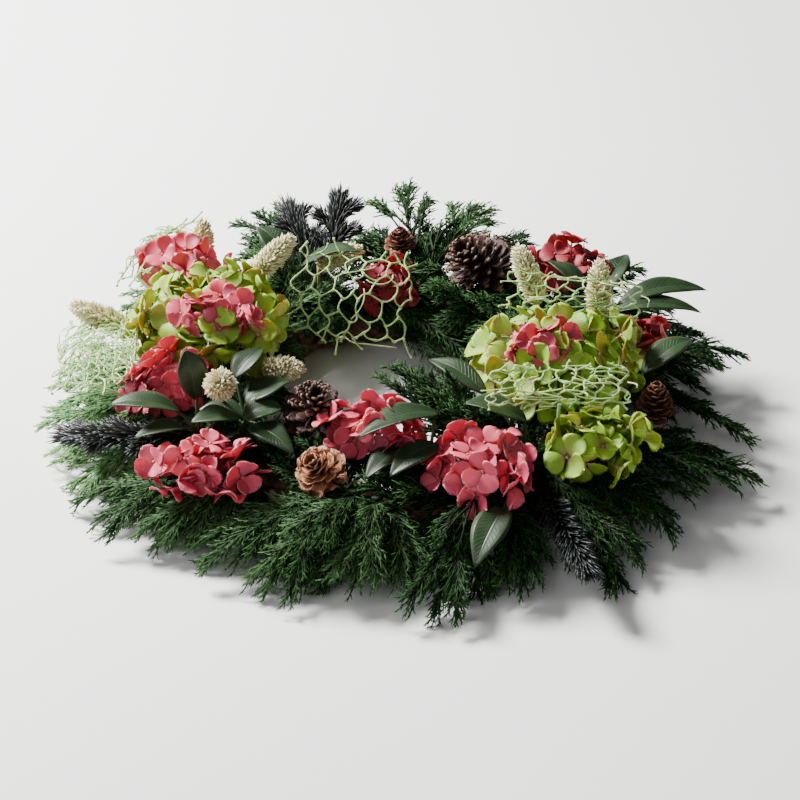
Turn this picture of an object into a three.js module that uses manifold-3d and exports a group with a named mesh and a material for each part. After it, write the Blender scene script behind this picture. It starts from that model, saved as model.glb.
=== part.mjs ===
// A fresh evergreen wreath that lies on a table. Millimetres, +Z up.
// A ring of twisted vine carries everything. Cypress sprays and fir sprigs stand in holes in its
// flanks. Hydrangea heads, canary-grass heads, cones, leafy twigs and pieces of fibre net stand in
// holes along its top. Each is one closed solid, and none crosses another.
import * as THREE from "three";
import { mergeVertices } from "three/addons/utils/BufferGeometryUtils.js";
import Module from "manifold-3d";

const wasm = await Module();
wasm.setup();

// ---------------------------------------------------------------- driving dimensions
const RING = { radius: 110, halfWidth: 16, halfHeight: 13, around: 30, section: 7 };
const HOLE = { halfSide: 40, top: 130 }; // the square way through the wreath that stays free
const FLOOR_GAP = 1.2; // everything but the ring stays this far above the table
const SOCKET_GAP = 0.5; // round a stem in its hole
const CLEARANCE = 0.45; // between sub-parts
const BLADE = 0.9; // thickness of petals and leaves

// A petal's outline is [degrees, share of the floret's radius]. Florets stand at three levels, tilted
// a little, and each is turned or made smaller until it clears its neighbours.
const FLORET = {
  cup: 3.2,
  petal: [[-45, 0.42], [-24, 0.96], [24, 0.96]],
  levels: [1, 0.93, 1.07],
  tilt: 0.3,
  shares: [1.06, 0.96, 0.86, 0.76, 0.66],
  turns: [0, 30, 60],
  stalk: [2, 0.7],
};
// A head's core against the head, how far round its dome the florets go, in degrees from the top,
// and where its stem starts, against its half height below its middle.
const HEAD = { core: 0.76, cap: 106, stemFrom: 0.25 };
// A grass head's core is slimmer than its spikelets, and the head ends short of their tips.
const GRASS = { length: 42, radius: 7.5, rows: 5, around: 5, core: 0.72, spikelet: 1.12, bare: 4, stem: 1.3 };
// Shares of a cone's radius or length, and the angles of its lowest scales and how far they close.
const CONE = {
  below: 0.42,
  core: 0.34,
  taper: 0.2,
  height: 0.82,
  tip: 0.9,
  scale: 0.72,
  shorten: 0.18,
  lowest: -8,
  closing: 80,
  gap: 0.1,
};
const NEEDLE = { length: 13, lean: 0.8, from: 0.15, guard: [2, 0.4] };
const SHOOT = { radius: 1.9, taper: 0.9 };
const NET = { half: 0.9, pull: 0.2, wander: 0.16, drift: 0.5, stem: 1.3 };
const STEM = { radius: 1.6, spread: 12 }; // a stem enters the ring this near its middle line
const SPRAY_STEM = [2.2, 1.8];

const COLOURS = {
  vine: 0x4a2f24,
  cypress: 0x1f3f24,
  fir: 0x262b2d,
  leaf: 0x34453a,
  green_petal: 0xa3bd4c,
  pink_petal: 0xd25a6c,
  red_petal: 0x8f2b33,
  grass: 0xd8cc9c,
  pine_cone: 0x50322a,
  larch_cone: 0xb27549,
  net: 0xa8c98a,
};

// From the ring's centre to the origin, which is the middle of the whole wreath's outline.
const RING_CENTRE = { x: 1.5, y: -4.4 };

// Places are [x, y, z] of each sub-part's middle, from the ring's centre on the table.
const PINE_CONES = {
  pine_cone_front: {
    at: [-51, -61, 56], radius: 19.5, length: 35, aim: [0.1, -0.4, 0.9], rows: 5, around: 7,
  },
  pine_cone_back: { at: [52, 114, 54], radius: 24, length: 40, aim: [-0.5, -0.3, 0.7], rows: 5, around: 8 },
};
const LARCH_CONES = {
  larch_cone_front: {
    at: [-47, -111, 47], radius: 16.5, length: 30, aim: [-0.3, -0.5, 0.8], rows: 5, around: 6,
  },
  larch_cone_right: { at: [155, -46, 50], radius: 13, length: 30, aim: [0, -0.1, 1], rows: 6, around: 5 },
  larch_cone_back: { at: [0, 138, 58], radius: 11, length: 20, aim: [0, -0.2, 1], rows: 4, around: 5 },
};
const GRASS_HEADS = {
  grass_head_top_left: { at: [-131, 105, 76], aim: [0.1, 0.3, 1], length: 32 },
  grass_head_back_left: { at: [-82, 72, 84], aim: [0.65, 0.25, 0.6] },
  grass_head_left: { at: [-190, 22, 70], aim: [-0.9, 0, 0.42] },
  grass_head_right: { at: [80, 34, 94], aim: [-0.35, 0.2, 0.9] },
  grass_head_far_right: { at: [125, 30, 85], aim: [0, 0.2, 1] },
  grass_head_inner: { at: [-72, -26, 62], aim: [0.8, -0.3, 0.2], length: 28 },
  grass_head_back: { at: [-40, 108, 64], aim: [0.9, 0.15, 0.25], length: 34 },
  grass_head_front: { at: [-107, -62, 74], aim: [0, -0.75, 0.6], length: 24, radius: 10.5 },
};
// A head's half sizes, how many florets it shows and how large they are.
const HYDRANGEAS = {
  pink_hydrangea_in_left: {
    at: [-112, -2, 86], half: [19, 13, 11], florets: 5, radius: 13, petal: "pink_petal", seed: 3, lean: -13,
  },
  pink_hydrangea_in_right: {
    at: [86, -36, 84], half: [16, 12, 11], florets: 4, radius: 13, petal: "pink_petal", seed: 4, lean: 12,
  },
  green_hydrangea_left: {
    at: [-120, 22, 60], half: [46, 42, 31], florets: 11, radius: 18.5, petal: "green_petal", seed: 1,
  },
  green_hydrangea_right: {
    at: [98, -24, 58], half: [46, 36, 30], florets: 10, radius: 18.5, petal: "green_petal", seed: 2,
  },
  green_hydrangea_low_right: {
    at: [117, -88, 46], half: [26, 20, 20], florets: 6, radius: 15.5, petal: "green_petal", seed: 5,
  },
  pink_hydrangea_top_left: {
    at: [-142, 82, 68], half: [25, 15, 15], florets: 5, radius: 14.5, petal: "pink_petal", seed: 6,
  },
  pink_hydrangea_left: {
    at: [-142, -28, 50], half: [23, 20, 20], florets: 5, radius: 15, petal: "pink_petal", seed: 7,
  },
  pink_hydrangea_front_left: {
    at: [-113, -104, 38], half: [29, 18, 17], florets: 5, radius: 15.5, petal: "pink_petal", seed: 8,
  },
  pink_hydrangea_centre: {
    at: [-16, -80, 50], half: [23, 17, 19], florets: 5, radius: 14.5, petal: "pink_petal", seed: 9,
  },
  pink_hydrangea_front: {
    at: [48, -112, 46], half: [27, 25, 20], florets: 6, radius: 16, petal: "pink_petal", seed: 10,
  },
  pink_hydrangea_right: {
    at: [152, 14, 56], half: [14, 12, 13], florets: 4, radius: 11.5, petal: "red_petal", seed: 11,
  },
  red_hydrangea_back: {
    at: [-6, 94, 46], half: [16, 12, 16], florets: 4, radius: 12.5, petal: "red_petal", seed: 12,
  },
  red_hydrangea_back_right: {
    at: [114, 112, 52], half: [23, 16, 15], florets: 4, radius: 13.5, petal: "red_petal", seed: 13,
  },
};
// A leafy twig's leaves: where each leaf's stalk meets the twig, where its tip is, and its width.
const LEAFY_TWIGS = {
  leafy_twig_left: {
    foot: [-92, -62, 46],
    leaves: [
      { root: [-94, -56, 57], tip: [-66, -43, 65], width: 20 },
      { root: [-94, -70, 54], tip: [-70, -64, 59], width: 18 },
      { root: [-100, -46, 68], tip: [-83, -25, 77], width: 15 },
      { root: [-90, -72, 51], tip: [-62, -98, 50], width: 17 },
      { root: [-96, -68, 54], tip: [-124, -80, 60], width: 17 },
    ],
  },
  leafy_twig_far_left: {
    foot: [-122, -62, 38],
    leaves: [
      { root: [-132, -64, 56], tip: [-174, -64, 62], width: 15 },
      { root: [-122, -58, 60], tip: [-128, -50, 92], width: 17 },
      { root: [-128, -70, 48], tip: [-158, -82, 50], width: 14 },
    ],
  },
  leafy_twig_back_left: {
    foot: [-64, 104, 44],
    leaves: [
      { root: [-66, 98, 60], tip: [-26, 88, 80], width: 24 },
      { root: [-72, 106, 58], tip: [-96, 132, 74], width: 20 },
    ],
  },
  leafy_twig_back_right: {
    foot: [130, 62, 42],
    leaves: [
      { root: [142, 70, 50], tip: [202, 84, 54], width: 17 },
      { root: [138, 62, 48], tip: [196, 62, 50], width: 15 },
      { root: [124, 74, 54], tip: [96, 90, 72], width: 18 },
      { root: [134, 78, 52], tip: [152, 116, 62], width: 16 },
    ],
  },
  leafy_twig_right: {
    foot: [136, -36, 42],
    leaves: [
      { root: [148, -26, 58], tip: [180, -10, 74], width: 17 },
    ],
  },
  leafy_twig_centre: {
    foot: [74, -74, 40],
    leaves: [
      { root: [52, -56, 62], tip: [17, -26, 70], width: 14 },
      { root: [76, -72, 54], tip: [38, -68, 66], width: 18 },
    ],
  },
  leafy_twig_front: {
    foot: [14, -104, 36],
    leaves: [
      { root: [23, -80, 66], tip: [-25, -105, 67], width: 20 },
      { root: [2, -94, 50], tip: [-20, -120, 48], width: 15 },
      { root: [22, -96, 55], tip: [-6, -123, 52], width: 18 },
    ],
  },
  leafy_twig_low_front: {
    foot: [66, -116, 34],
    leaves: [
      { root: [60, -138, 40], tip: [42, -176, 28], width: 20 },
    ],
  },
};
// A net's four corners, in order round it, how far its middle swells, and its cells each way.
const NETS = {
  fibre_net_back: {
    corners: [[-74, 52, 40], [2, 50, 32], [12, 80, 74], [-66, 84, 82]], swell: 9, cells: [4, 3], seed: 21,
  },
  fibre_net_top_right: {
    corners: [[66, 8, 84], [148, 4, 78], [150, 17, 96], [68, 21, 104]], swell: 8, cells: [4, 2], seed: 22,
  },
  fibre_net_low_right: {
    corners: [[52, -80, 71], [135, -84, 76], [133, -68, 91], [54, -68, 88]],
    swell: 5, cells: [4, 2], seed: 23,
  },
  fibre_net_left: {
    corners: [[-212, -30, 50], [-166, -36, 62], [-166, 22, 70], [-212, 30, 56]],
    swell: 7, cells: [3, 3], seed: 24,
  },
  fibre_net_top_left: {
    corners: [[-184, 70, 66], [-158, 66, 80], [-138, 124, 80], [-168, 130, 66]],
    swell: 6, cells: [2, 4], seed: 25,
  },
};
// A fir sprig's shoots grow in curves from its foot, each through a middle to a tip.
const FIR_SPRIGS = {
  fir_sprig_left: {
    foot: [-108, -42, 26],
    shoots: [{ through: [-152, -61, 36], tip: [-201, -54, 32], spans: 15 }],
  },
  fir_sprig_back: {
    foot: [-52, 112, 30],
    shoots: [
      { through: [-62, 136, 48], tip: [-76, 168, 64], spans: 10 },
      { through: [-46, 140, 50], tip: [-42, 170, 70], spans: 10 },
    ],
  },
  fir_sprig_front: {
    foot: [84, -96, 24],
    shoots: [{ through: [92, -134, 30], tip: [104, -176, 28], spans: 13 }],
  },
};
// The fronds of a cypress spray part at its fork, beside the ring. A fork is its angle round the
// ring, and a tip is [angle, radius, height].
const FORKS = {
  outer: { radii: [120, 126, 131], heights: [35, 29, 22] },
  inner: { radii: [98, 92, 90], heights: [35, 30, 24] },
};
const OUTER_FROND = { width: 78, span: 17, arch: 11 };
const INNER_FROND = { width: 48, span: 12, arch: 5 };
const OUTER_SPRAYS = [
  { fork: 8, tips: [[357, 206, 9], [12, 208, 28], [4, 180, 44], [22, 122, 44]] },
  { fork: 36, tips: [[27, 206, 14], [42, 196, 36], [52, 130, 44]] },
  { fork: 58, tips: [[52, 190, 20], [68, 188, 34], [58, 172, 40]], level: 2 },
  { fork: 82, tips: [[80, 192, 24], [74, 190, 56], [90, 184, 66], [100, 130, 40]] },
  { fork: 117, tips: [[110, 184, 16], [119, 196, 58], [134, 130, 40]] },
  { fork: 145, tips: [[134, 204, 22], [149, 204, 36]] },
  { fork: 178, tips: [[168, 212, 16], [179, 212, 10], [190, 208, 10]] },
  { fork: 194, tips: [[199, 204, 6], [188, 186, 34]] },
  { fork: 214, tips: [[211, 203, 8], [223, 188, 6]] },
  { fork: 250, tips: [[232, 178, 7], [246, 182, 5], [262, 172, 16], [252, 162, 36]] },
  { fork: 283, tips: [[276, 186, 4], [292, 180, 10], [282, 160, 34]] },
  { fork: 318, tips: [[308, 200, 6], [324, 190, 14], [342, 210, 12]] },
];
const INNER_SPRAYS = [
  { fork: 52, tips: [[78, 80, 56], [64, 68, 36], [34, 68, 40]] },
  { fork: 108, tips: [[130, 74, 36], [88, 72, 34]] },
  { fork: 172, tips: [[200, 74, 44], [150, 72, 36]] },
  { fork: 236, tips: [[252, 67, 72], [228, 66, 40]] },
  { fork: 318, tips: [[342, 70, 44], [288, 68, 62]] },
];

const ROOTED = 2; // a stem starts this deep inside what it carries

// ---------------------------------------------------------------- small helpers
const vec = (x, y, z) => new THREE.Vector3(x, y, z);
const point = (p) => new THREE.Vector3(...p);
const UP = vec(0, 0, 1);
const GOLDEN = Math.PI * (3 - Math.sqrt(5));
const radians = THREE.MathUtils.degToRad;

function polar(degrees, radius, z) {
  const a = radians(degrees);
  return vec(radius * Math.cos(a), radius * Math.sin(a), z);
}

function seeded(seed) {
  let state = seed * 7919 + 17;
  return () => {
    state = (state * 48271) % 2147483647;
    return state / 2147483647;
  };
}

// Two directions square to a third, the first as near to the hint as it can be.
function squareTo(direction, hint = UP) {
  const along = direction.clone().normalize();
  const flat = Math.abs(along.dot(hint)) > 0.98 ? vec(1, 0.2, 0) : hint;
  const first = flat.clone().addScaledVector(along, -along.dot(flat)).normalize();
  return { along, first, second: along.clone().cross(first) };
}

// ---------------------------------------------------------------- closed shapes
function closedGeometry(triangles) {
  return new THREE.BufferGeometry().setFromPoints(triangles);
}

// A skin over rings of equally many points, closed at both ends. With mirrored, the second half of
// each ring is split into triangles as the first half is, so that a thin blade's faces match.
function loft(rings, mirrored = false) {
  const triangles = [];
  const count = rings[0].length;
  for (let i = 0; i + 1 < rings.length; i++) {
    for (let j = 0; j < count; j++) {
      const k = (j + 1) % count;
      const [a, b, c, d] = [rings[i][j], rings[i][k], rings[i + 1][k], rings[i + 1][j]];
      if (mirrored && j >= count / 2) triangles.push(a, b, d, b, c, d);
      else triangles.push(a, b, c, a, c, d);
    }
  }
  const last = rings[rings.length - 1];
  for (let j = 1; j + 1 < count; j++) {
    triangles.push(rings[0][0], rings[0][j + 1], rings[0][j]);
    triangles.push(last[0], last[j], last[j + 1]);
  }
  return closedGeometry(triangles);
}

// A tube through points, with a radius at each.
function tube(points, radii, sides = 3) {
  const rings = points.map((p, i) => {
    const before = points[Math.max(0, i - 1)];
    const after = points[Math.min(points.length - 1, i + 1)];
    const { first, second } = squareTo(after.clone().sub(before));
    return Array.from({ length: sides }, (_, j) => {
      const a = (j / sides) * 2 * Math.PI + Math.PI / 2;
      return p
        .clone()
        .addScaledVector(first, radii[i] * Math.sin(a))
        .addScaledVector(second, -radii[i] * Math.cos(a));
    });
  });
  return loft(rings);
}

// A leaf: a thin blade along a midrib, folded up at its edges.
function blade(points, widths, thicknesses, fold) {
  const rings = points.map((p, i) => {
    const before = points[Math.max(0, i - 1)];
    const after = points[Math.min(points.length - 1, i + 1)];
    const { first: normal, second: side } = squareTo(after.clone().sub(before));
    const half = widths[i] / 2;
    const left = p.clone().addScaledVector(side, -half).addScaledVector(normal, fold * half);
    const right = p.clone().addScaledVector(side, half).addScaledVector(normal, fold * half);
    const lift = (q, share) => q.clone().addScaledVector(normal, share * thicknesses[i]);
    const across = [left, p, right];
    return [...across.map((q) => lift(q, 0.5)), ...across.reverse().map((q) => lift(q, -0.5))];
  });
  return loft(rings, true);
}

// A four-petalled floret as one thin plate, cupped, with its middle at the origin and facing +Z.
function floret(radius, thickness, cup) {
  const outline = [];
  for (let petal = 0; petal < 4; petal++) {
    for (const [degrees, share] of FLORET.petal) {
      outline.push(polar(petal * 90 + degrees, radius * share, cup * share * share));
    }
  }
  const triangles = [];
  const shift = (p, z) => vec(p.x, p.y, p.z + z);
  const h = thickness / 2;
  outline.forEach((p, i) => {
    const q = outline[(i + 1) % outline.length];
    triangles.push(vec(0, 0, h), shift(p, h), shift(q, h));
    triangles.push(vec(0, 0, -h), shift(q, -h), shift(p, -h));
    triangles.push(shift(p, h), shift(p, -h), shift(q, -h), shift(p, h), shift(q, -h), shift(q, h));
  });
  return closedGeometry(triangles);
}

// A feather: a midrib with a pointed branchlet on the spans of both its sides, as one thin plate.
// Each side is a list of roots along the rib, one longer than its list of tips. A tip may be null.
function feather(left, right, normal, thickness) {
  const lift = normal.clone().multiplyScalar(thickness / 2);
  const up = (p) => p.clone().add(lift);
  const down = (p) => p.clone().sub(lift);
  const triangles = [];
  const face = (a, b, c) => triangles.push(up(a), up(b), up(c), down(a), down(c), down(b));
  const wall = (a, b) => triangles.push(up(a), down(a), down(b), up(a), down(b), up(b));
  const spans = left.tips.length;
  for (let i = 0; i < spans; i++) {
    const [l0, l1, r0, r1] = [left.roots[i], left.roots[i + 1], right.roots[i], right.roots[i + 1]];
    face(l0, r0, r1);
    face(l0, r1, l1);
    for (const [a, tip, b] of [[r0, right.tips[i], r1], [l1, left.tips[i], l0]]) {
      if (!tip) {
        wall(a, b);
        continue;
      }
      face(a, tip, b);
      wall(a, tip);
      wall(tip, b);
    }
  }
  wall(left.roots[0], right.roots[0]);
  wall(right.roots[spans], left.roots[spans]);
  return closedGeometry(triangles);
}

// A slim stem over rings of three points, with a needle on one half of every face that is given one.
function needled(rings, tips) {
  const triangles = [];
  for (let i = 0; i + 1 < rings.length; i++) {
    for (let j = 0; j < 3; j++) {
      const k = (j + 1) % 3;
      const [a, b, c, d] = [rings[i][j], rings[i][k], rings[i + 1][k], rings[i + 1][j]];
      const tip = tips[i]?.[j];
      triangles.push(a, c, d);
      if (tip) triangles.push(a, b, tip, b, c, tip, c, a, tip);
      else triangles.push(a, b, c);
    }
  }
  const last = rings[rings.length - 1];
  triangles.push(rings[0][0], rings[0][2], rings[0][1], last[0], last[1], last[2]);
  return closedGeometry(triangles);
}

// ---------------------------------------------------------------- solids
function solid(geometry) {
  const plain = geometry.index ? geometry.toNonIndexed() : geometry;
  const bare = new THREE.BufferGeometry().setAttribute("position", plain.getAttribute("position"));
  const merged = mergeVertices(bare, 1e-4);
  const vertProperties = merged.attributes.position.array;
  const triVerts = new Uint32Array(merged.index.array);
  const made = new wasm.Manifold(new wasm.Mesh({ numProp: 3, vertProperties, triVerts }));
  if (made.volume() > 0) return made;
  for (let i = 0; i < triVerts.length; i += 3) {
    [triVerts[i + 1], triVerts[i + 2]] = [triVerts[i + 2], triVerts[i + 1]];
  }
  return new wasm.Manifold(new wasm.Mesh({ numProp: 3, vertProperties, triVerts }));
}

// A piece is a solid with its guard, the same shape a clearance larger.
const piece = (make) => ({ body: solid(make(0)), guard: solid(make(CLEARANCE)) });

// A bud that ribs and stalks start from.
function knob(at, radius) {
  return piece((more) => new THREE.OctahedronGeometry(radius + more).translate(...at.toArray()));
}

const fused = (pieces) => wasm.Manifold.union(pieces);

// ---------------------------------------------------------------- the wreath as it fills up
const wreath = new THREE.Group();
const placed = []; // every solid so far, with its guard
const sockets = []; // the stems' holes in the ring

const boxesMeet = (a, b) => [0, 1, 2].every((i) => a.min[i] <= b.max[i] && b.min[i] <= a.max[i]);

function meets(guard, others) {
  const box = guard.boundingBox();
  return others.some((other) => boxesMeet(box, other.box) && guard.intersect(other.body).volume() > 1e-4);
}

const isClear = (guard, others = placed) =>
  guard.boundingBox().min[2] >= FLOOR_GAP && !meets(guard, others);

function keep(body, guard, name, colour) {
  placed.push({ body, guard, box: guard.boundingBox(), name });
  if (!colour) return;
  const mesh = body.getMesh();
  const geometry = new THREE.BufferGeometry()
    .setAttribute("position", new THREE.BufferAttribute(new Float32Array(mesh.vertProperties), 3))
    .setIndex(new THREE.BufferAttribute(mesh.triVerts, 1));
  geometry.translate(RING_CENTRE.x, RING_CENTRE.y, 0);
  geometry.computeVertexNormals();
  const material = new THREE.MeshStandardMaterial({ color: COLOURS[colour], roughness: 0.8, metalness: 0 });
  const made = new THREE.Mesh(geometry, material);
  made.name = name;
  wreath.add(made);
}

// Fuses a sub-part's pieces, drops what fell loose, and adds it to the wreath.
function finish(name, colour, pieces) {
  const found = pieces.filter((p) => p);
  const whole = fused(found.map((p) => p.body).filter((body) => body));
  const bodies = whole.decompose().sort((a, b) => b.volume() - a.volume());
  keep(bodies[0], fused(found.map((p) => p.guard)), name, colour);
}

// A core gives way to the stems and petals that already stand there.
function carved(core) {
  const box = core.boundingBox();
  const near = placed.filter((other) => boxesMeet(box, other.box));
  return near.reduce((rest, other) => rest.subtract(other.guard), core);
}

// A stem from a point down into the ring, past everything placed so far. Its hole is kept for the ring.
const SIDE_STEPS = [0, 5, -5, 10, -10, 15, -15, 20, -20];

function stemInto(top, radius = STEM.radius, lean = 0) {
  const angle = THREE.MathUtils.radToDeg(Math.atan2(top.y, top.x)) + lean;
  const out = Math.hypot(top.x, top.y);
  const reach = THREE.MathUtils.clamp(out, RING.radius - STEM.spread, RING.radius + STEM.spread);
  const others = placed.filter((other) => other.name !== "ring");
  for (const step of SIDE_STEPS) {
    const end = polar(angle + step, reach, RING.halfHeight);
    const made = piece((more) => tube([top, end], [radius + more, radius + more]));
    if (!isClear(made.guard, others)) continue;
    const away = end.clone().sub(top).normalize();
    const bottom = end.clone().addScaledVector(away, SOCKET_GAP * 2);
    const wide = radius + SOCKET_GAP * 1.5;
    sockets.push(solid(tube([top, bottom], [wide, wide])));
    return made;
  }
  return null;
}

// ---------------------------------------------------------------- the ring
// Vine strands wound round each other: a ring whose section bulges in three turning lobes.
function vineRing() {
  const [lobes, turns, relief] = [3, 5, 0.07];
  const rings = [];
  for (let i = 0; i < RING.around; i++) {
    const a = (i / RING.around) * 2 * Math.PI;
    rings.push(
      Array.from({ length: RING.section }, (_, j) => {
        const b = ((j + 0.5) / RING.section) * 2 * Math.PI - Math.PI / 2;
        const swell = 1 + relief * Math.cos(lobes * b + turns * a);
        const out = RING.radius + RING.halfWidth * swell * Math.cos(b);
        const onTable = Math.sin(b) < -0.9;
        const z = onTable ? 0 : RING.halfHeight * (1 + swell * Math.sin(b));
        return vec(out * Math.cos(a), out * Math.sin(a), z);
      }),
    );
  }
  const triangles = [];
  rings.forEach((ring, i) => {
    const next = rings[(i + 1) % rings.length];
    ring.forEach((p, j) => {
      const k = (j + 1) % ring.length;
      triangles.push(p, next[j], next[k], p, next[k], ring[k]);
    });
  });
  return solid(closedGeometry(triangles));
}

// ---------------------------------------------------------------- cones
// A body of rows of scales, each row turned by half a scale against the one below. The skin gives a
// point of the core for a turn and a height from 0 to 1. A scale has one outer point or two.
function scaly(rows, around, skin, lips, foot, tip) {
  const triangles = [];
  for (let i = 0; i < rows; i++) {
    const [t, above] = [i / rows, (i + 1) / rows];
    for (let j = 0; j < around; j++) {
      const turn = j + i / 2;
      const [left, right] = [skin(turn, t), skin(turn + 1, t)];
      const [high, next] = [skin(turn + 0.5, above), skin(turn + 1.5, above)];
      const outer = lips(turn, t);
      const [a, b] = [outer[0], outer[outer.length - 1]];
      triangles.push(left, right, b, left, a, high, b, right, high, right, next, high);
      if (outer.length > 1) triangles.push(left, b, a, a, b, high);
    }
  }
  for (let j = 0; j < around; j++) {
    triangles.push(foot, skin(j + 1, 0), skin(j, 0));
    triangles.push(tip, skin(j + rows / 2, 1), skin(j + 1 + rows / 2, 1));
  }
  return closedGeometry(triangles);
}

// Points round an axis that starts at a foot.
function roundAxis(foot, aim, around) {
  const { along, first, second } = squareTo(aim);
  return (turn, r, z) => {
    const a = (turn / around) * 2 * Math.PI;
    return foot
      .clone()
      .addScaledVector(along, z)
      .addScaledVector(first, r * Math.cos(a))
      .addScaledVector(second, r * Math.sin(a));
  };
}

// A cone's scales are wedges, flat at the foot of the cone and closing towards its tip.
function cone(name, colour, { at, radius, length, aim, rows, around }) {
  const along = point(aim).normalize();
  const foot = point(at).addScaledVector(along, -CONE.below * length);
  const on = roundAxis(foot, along, around);
  const coreRadius = (t) => radius * (CONE.core - CONE.taper * t);
  const coreHeight = (t) => length * CONE.height * t;
  const lips = (turn, t) => {
    const rise = radians(CONE.lowest + CONE.closing * t ** 1.5);
    const reach = radius * (CONE.scale - CONE.shorten * t);
    const [out, up] = [coreRadius(t) + reach * Math.cos(rise), coreHeight(t) + reach * Math.sin(rise)];
    return [on(turn + CONE.gap, out, up), on(turn + 1 - CONE.gap, out, up)];
  };
  const skin = (turn, t) => on(turn, coreRadius(t), coreHeight(t));
  const body = solid(scaly(rows, around, skin, lips, foot, on(0, 0, length * CONE.tip)));
  const shell = new THREE.CylinderGeometry(radius + CLEARANCE, radius * 0.9, length * 0.8, 8);
  shell.applyQuaternion(new THREE.Quaternion().setFromUnitVectors(vec(0, 1, 0), along));
  shell.translate(...foot.clone().addScaledVector(along, 0.4 * length).toArray());
  const stem = stemInto(foot.clone().addScaledVector(along, ROOTED));
  finish(name, colour, [{ body, guard: solid(shell) }, stem]);
}

// ---------------------------------------------------------------- canary-grass heads
// A spindle of pointed spikelets that overlap upwards.
function grassHead(name, { at, aim, length = GRASS.length, radius = GRASS.radius }) {
  const { rows, around } = GRASS;
  const along = point(aim).normalize();
  const foot = point(at).addScaledVector(along, -0.5 * length);
  const on = roundAxis(foot, along, around);
  const head = piece((more) => {
    const full = (t) => radius * Math.sin(Math.PI * (0.08 + 0.84 * t)) ** 0.6;
    const height = (t) => (length - GRASS.bare) * t;
    const skin = (turn, t) => on(turn, GRASS.core * full(t) + more, height(t));
    const lips = (turn, t) => {
      return [on(turn + 0.5, full(t) * GRASS.spikelet + more, height(t) + length / rows)];
    };
    return scaly(rows, around, skin, lips, on(0, 0, -more), on(0, 0, height(1) + 1 + more));
  });
  const stem = stemInto(foot.clone().addScaledVector(along, ROOTED), GRASS.stem);
  finish(name, "grass", [head, stem]);
}

// ---------------------------------------------------------------- hydrangea heads
// Florets face out all round a domed core, which rises to each in a pointed stalk.
function hydrangea(name, { at, half, florets, radius, petal, seed, lean = 0 }) {
  const random = seeded(seed);
  const middle = point(at);
  const size = point(half);
  const core = new THREE.IcosahedronGeometry(HEAD.core, 0);
  core.scale(...half).translate(...at);
  const corner = core.getAttribute("position");
  const faces = [];
  for (let i = 0; i < corner.count; i += 3) {
    const corners = [0, 1, 2].map((j) => new THREE.Vector3().fromBufferAttribute(corner, i + j));
    const centre = corners[0].clone().add(corners[1]).add(corners[2]).divideScalar(3).sub(middle);
    faces.push({ corners, way: centre.divide(size).normalize() });
  }
  const plates = [];
  const stalks = [];
  const cap = 1 - Math.cos(radians(HEAD.cap));
  for (let i = 0; i < florets * 2 && plates.length < florets; i++) {
    const slot = i < florets ? i : i - florets + 0.5;
    const c = 1 - (cap * (slot + 0.5)) / florets;
    const s = Math.sqrt(Math.max(0, 1 - c * c));
    const a = slot * GOLDEN + random() * 0.3;
    const way = vec(s * Math.cos(a), s * Math.sin(a), c);
    const level = FLORET.levels[i % FLORET.levels.length];
    const seat = middle.clone().add(way.clone().multiply(size).multiplyScalar(level));
    const facing = way.clone().divide(size).normalize();
    facing.add(vec(random() - 0.5, random() - 0.5, random() - 0.5).multiplyScalar(FLORET.tilt)).normalize();
    const upright = new THREE.Quaternion().setFromUnitVectors(UP, facing);
    const start = random() * 90;
    const own = plates.map(({ guard }) => ({ body: guard, box: guard.boundingBox() }));
    const tries = FLORET.shares.flatMap((share) =>
      FLORET.turns.map((turn) => {
        const spin = new THREE.Quaternion().setFromAxisAngle(UP, radians(start + turn));
        const place = new THREE.Matrix4().compose(seat, upright.clone().multiply(spin), vec(1, 1, 1));
        return piece((more) =>
          floret(radius * share + more, BLADE + 2 * more, FLORET.cup).applyMatrix4(place),
        );
      }),
    );
    const plate = tries.find((made) => isClear(made.guard, [...placed, ...own]));
    if (!plate) continue;
    const free = faces.filter((face) => !face.seat);
    const face = free.reduce((best, other) => (other.way.dot(way) > best.way.dot(way) ? other : best));
    const foot = face.corners[0].clone().add(face.corners[1]).add(face.corners[2]).divideScalar(3);
    const stalk = piece((more) => tube([foot, seat], FLORET.stalk.map((radius) => radius + more)));
    if (!isClear(stalk.guard, [...placed, ...own])) continue;
    face.seat = seat.clone().addScaledVector(facing, 0.1);
    plates.push(plate);
    stalks.push({ body: null, guard: stalk.guard });
  }
  const triangles = faces.flatMap(({ corners: [a, b, c], seat }) =>
    seat ? [a, b, seat, b, c, seat, c, a, seat] : [a, b, c],
  );
  const spiky = solid(closedGeometry(triangles));
  const stem = stemInto(middle.clone().addScaledVector(UP, -HEAD.stemFrom * half[2]), STEM.radius, lean);
  finish(name, petal, [{ body: carved(spiky), guard: solid(core) }, ...plates, ...stalks, stem]);
}

// ---------------------------------------------------------------- leafy twigs
// Each leaf starts as a stalk at the twig's bud. It is tried a little higher or lower, or shorter,
// where its own place is taken.
const LEAF = {
  along: [0, 0.28, 0.66, 1],
  across: [0.16, 0.95, 0.84, 0.08],
  fold: 0.28,
  arch: 0.1,
  lifts: [0, 4, -4, 8, -8, 14, -14],
  lengths: [1, 0.85, 0.7],
  stalk: { width: 2.4, thickness: [2, 1.4], into: 1.5, stem: 1.8 }, // into: how far it reaches into the bud
};
const BUD = { twig: 3.6, spray: 5.2 };

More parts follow.
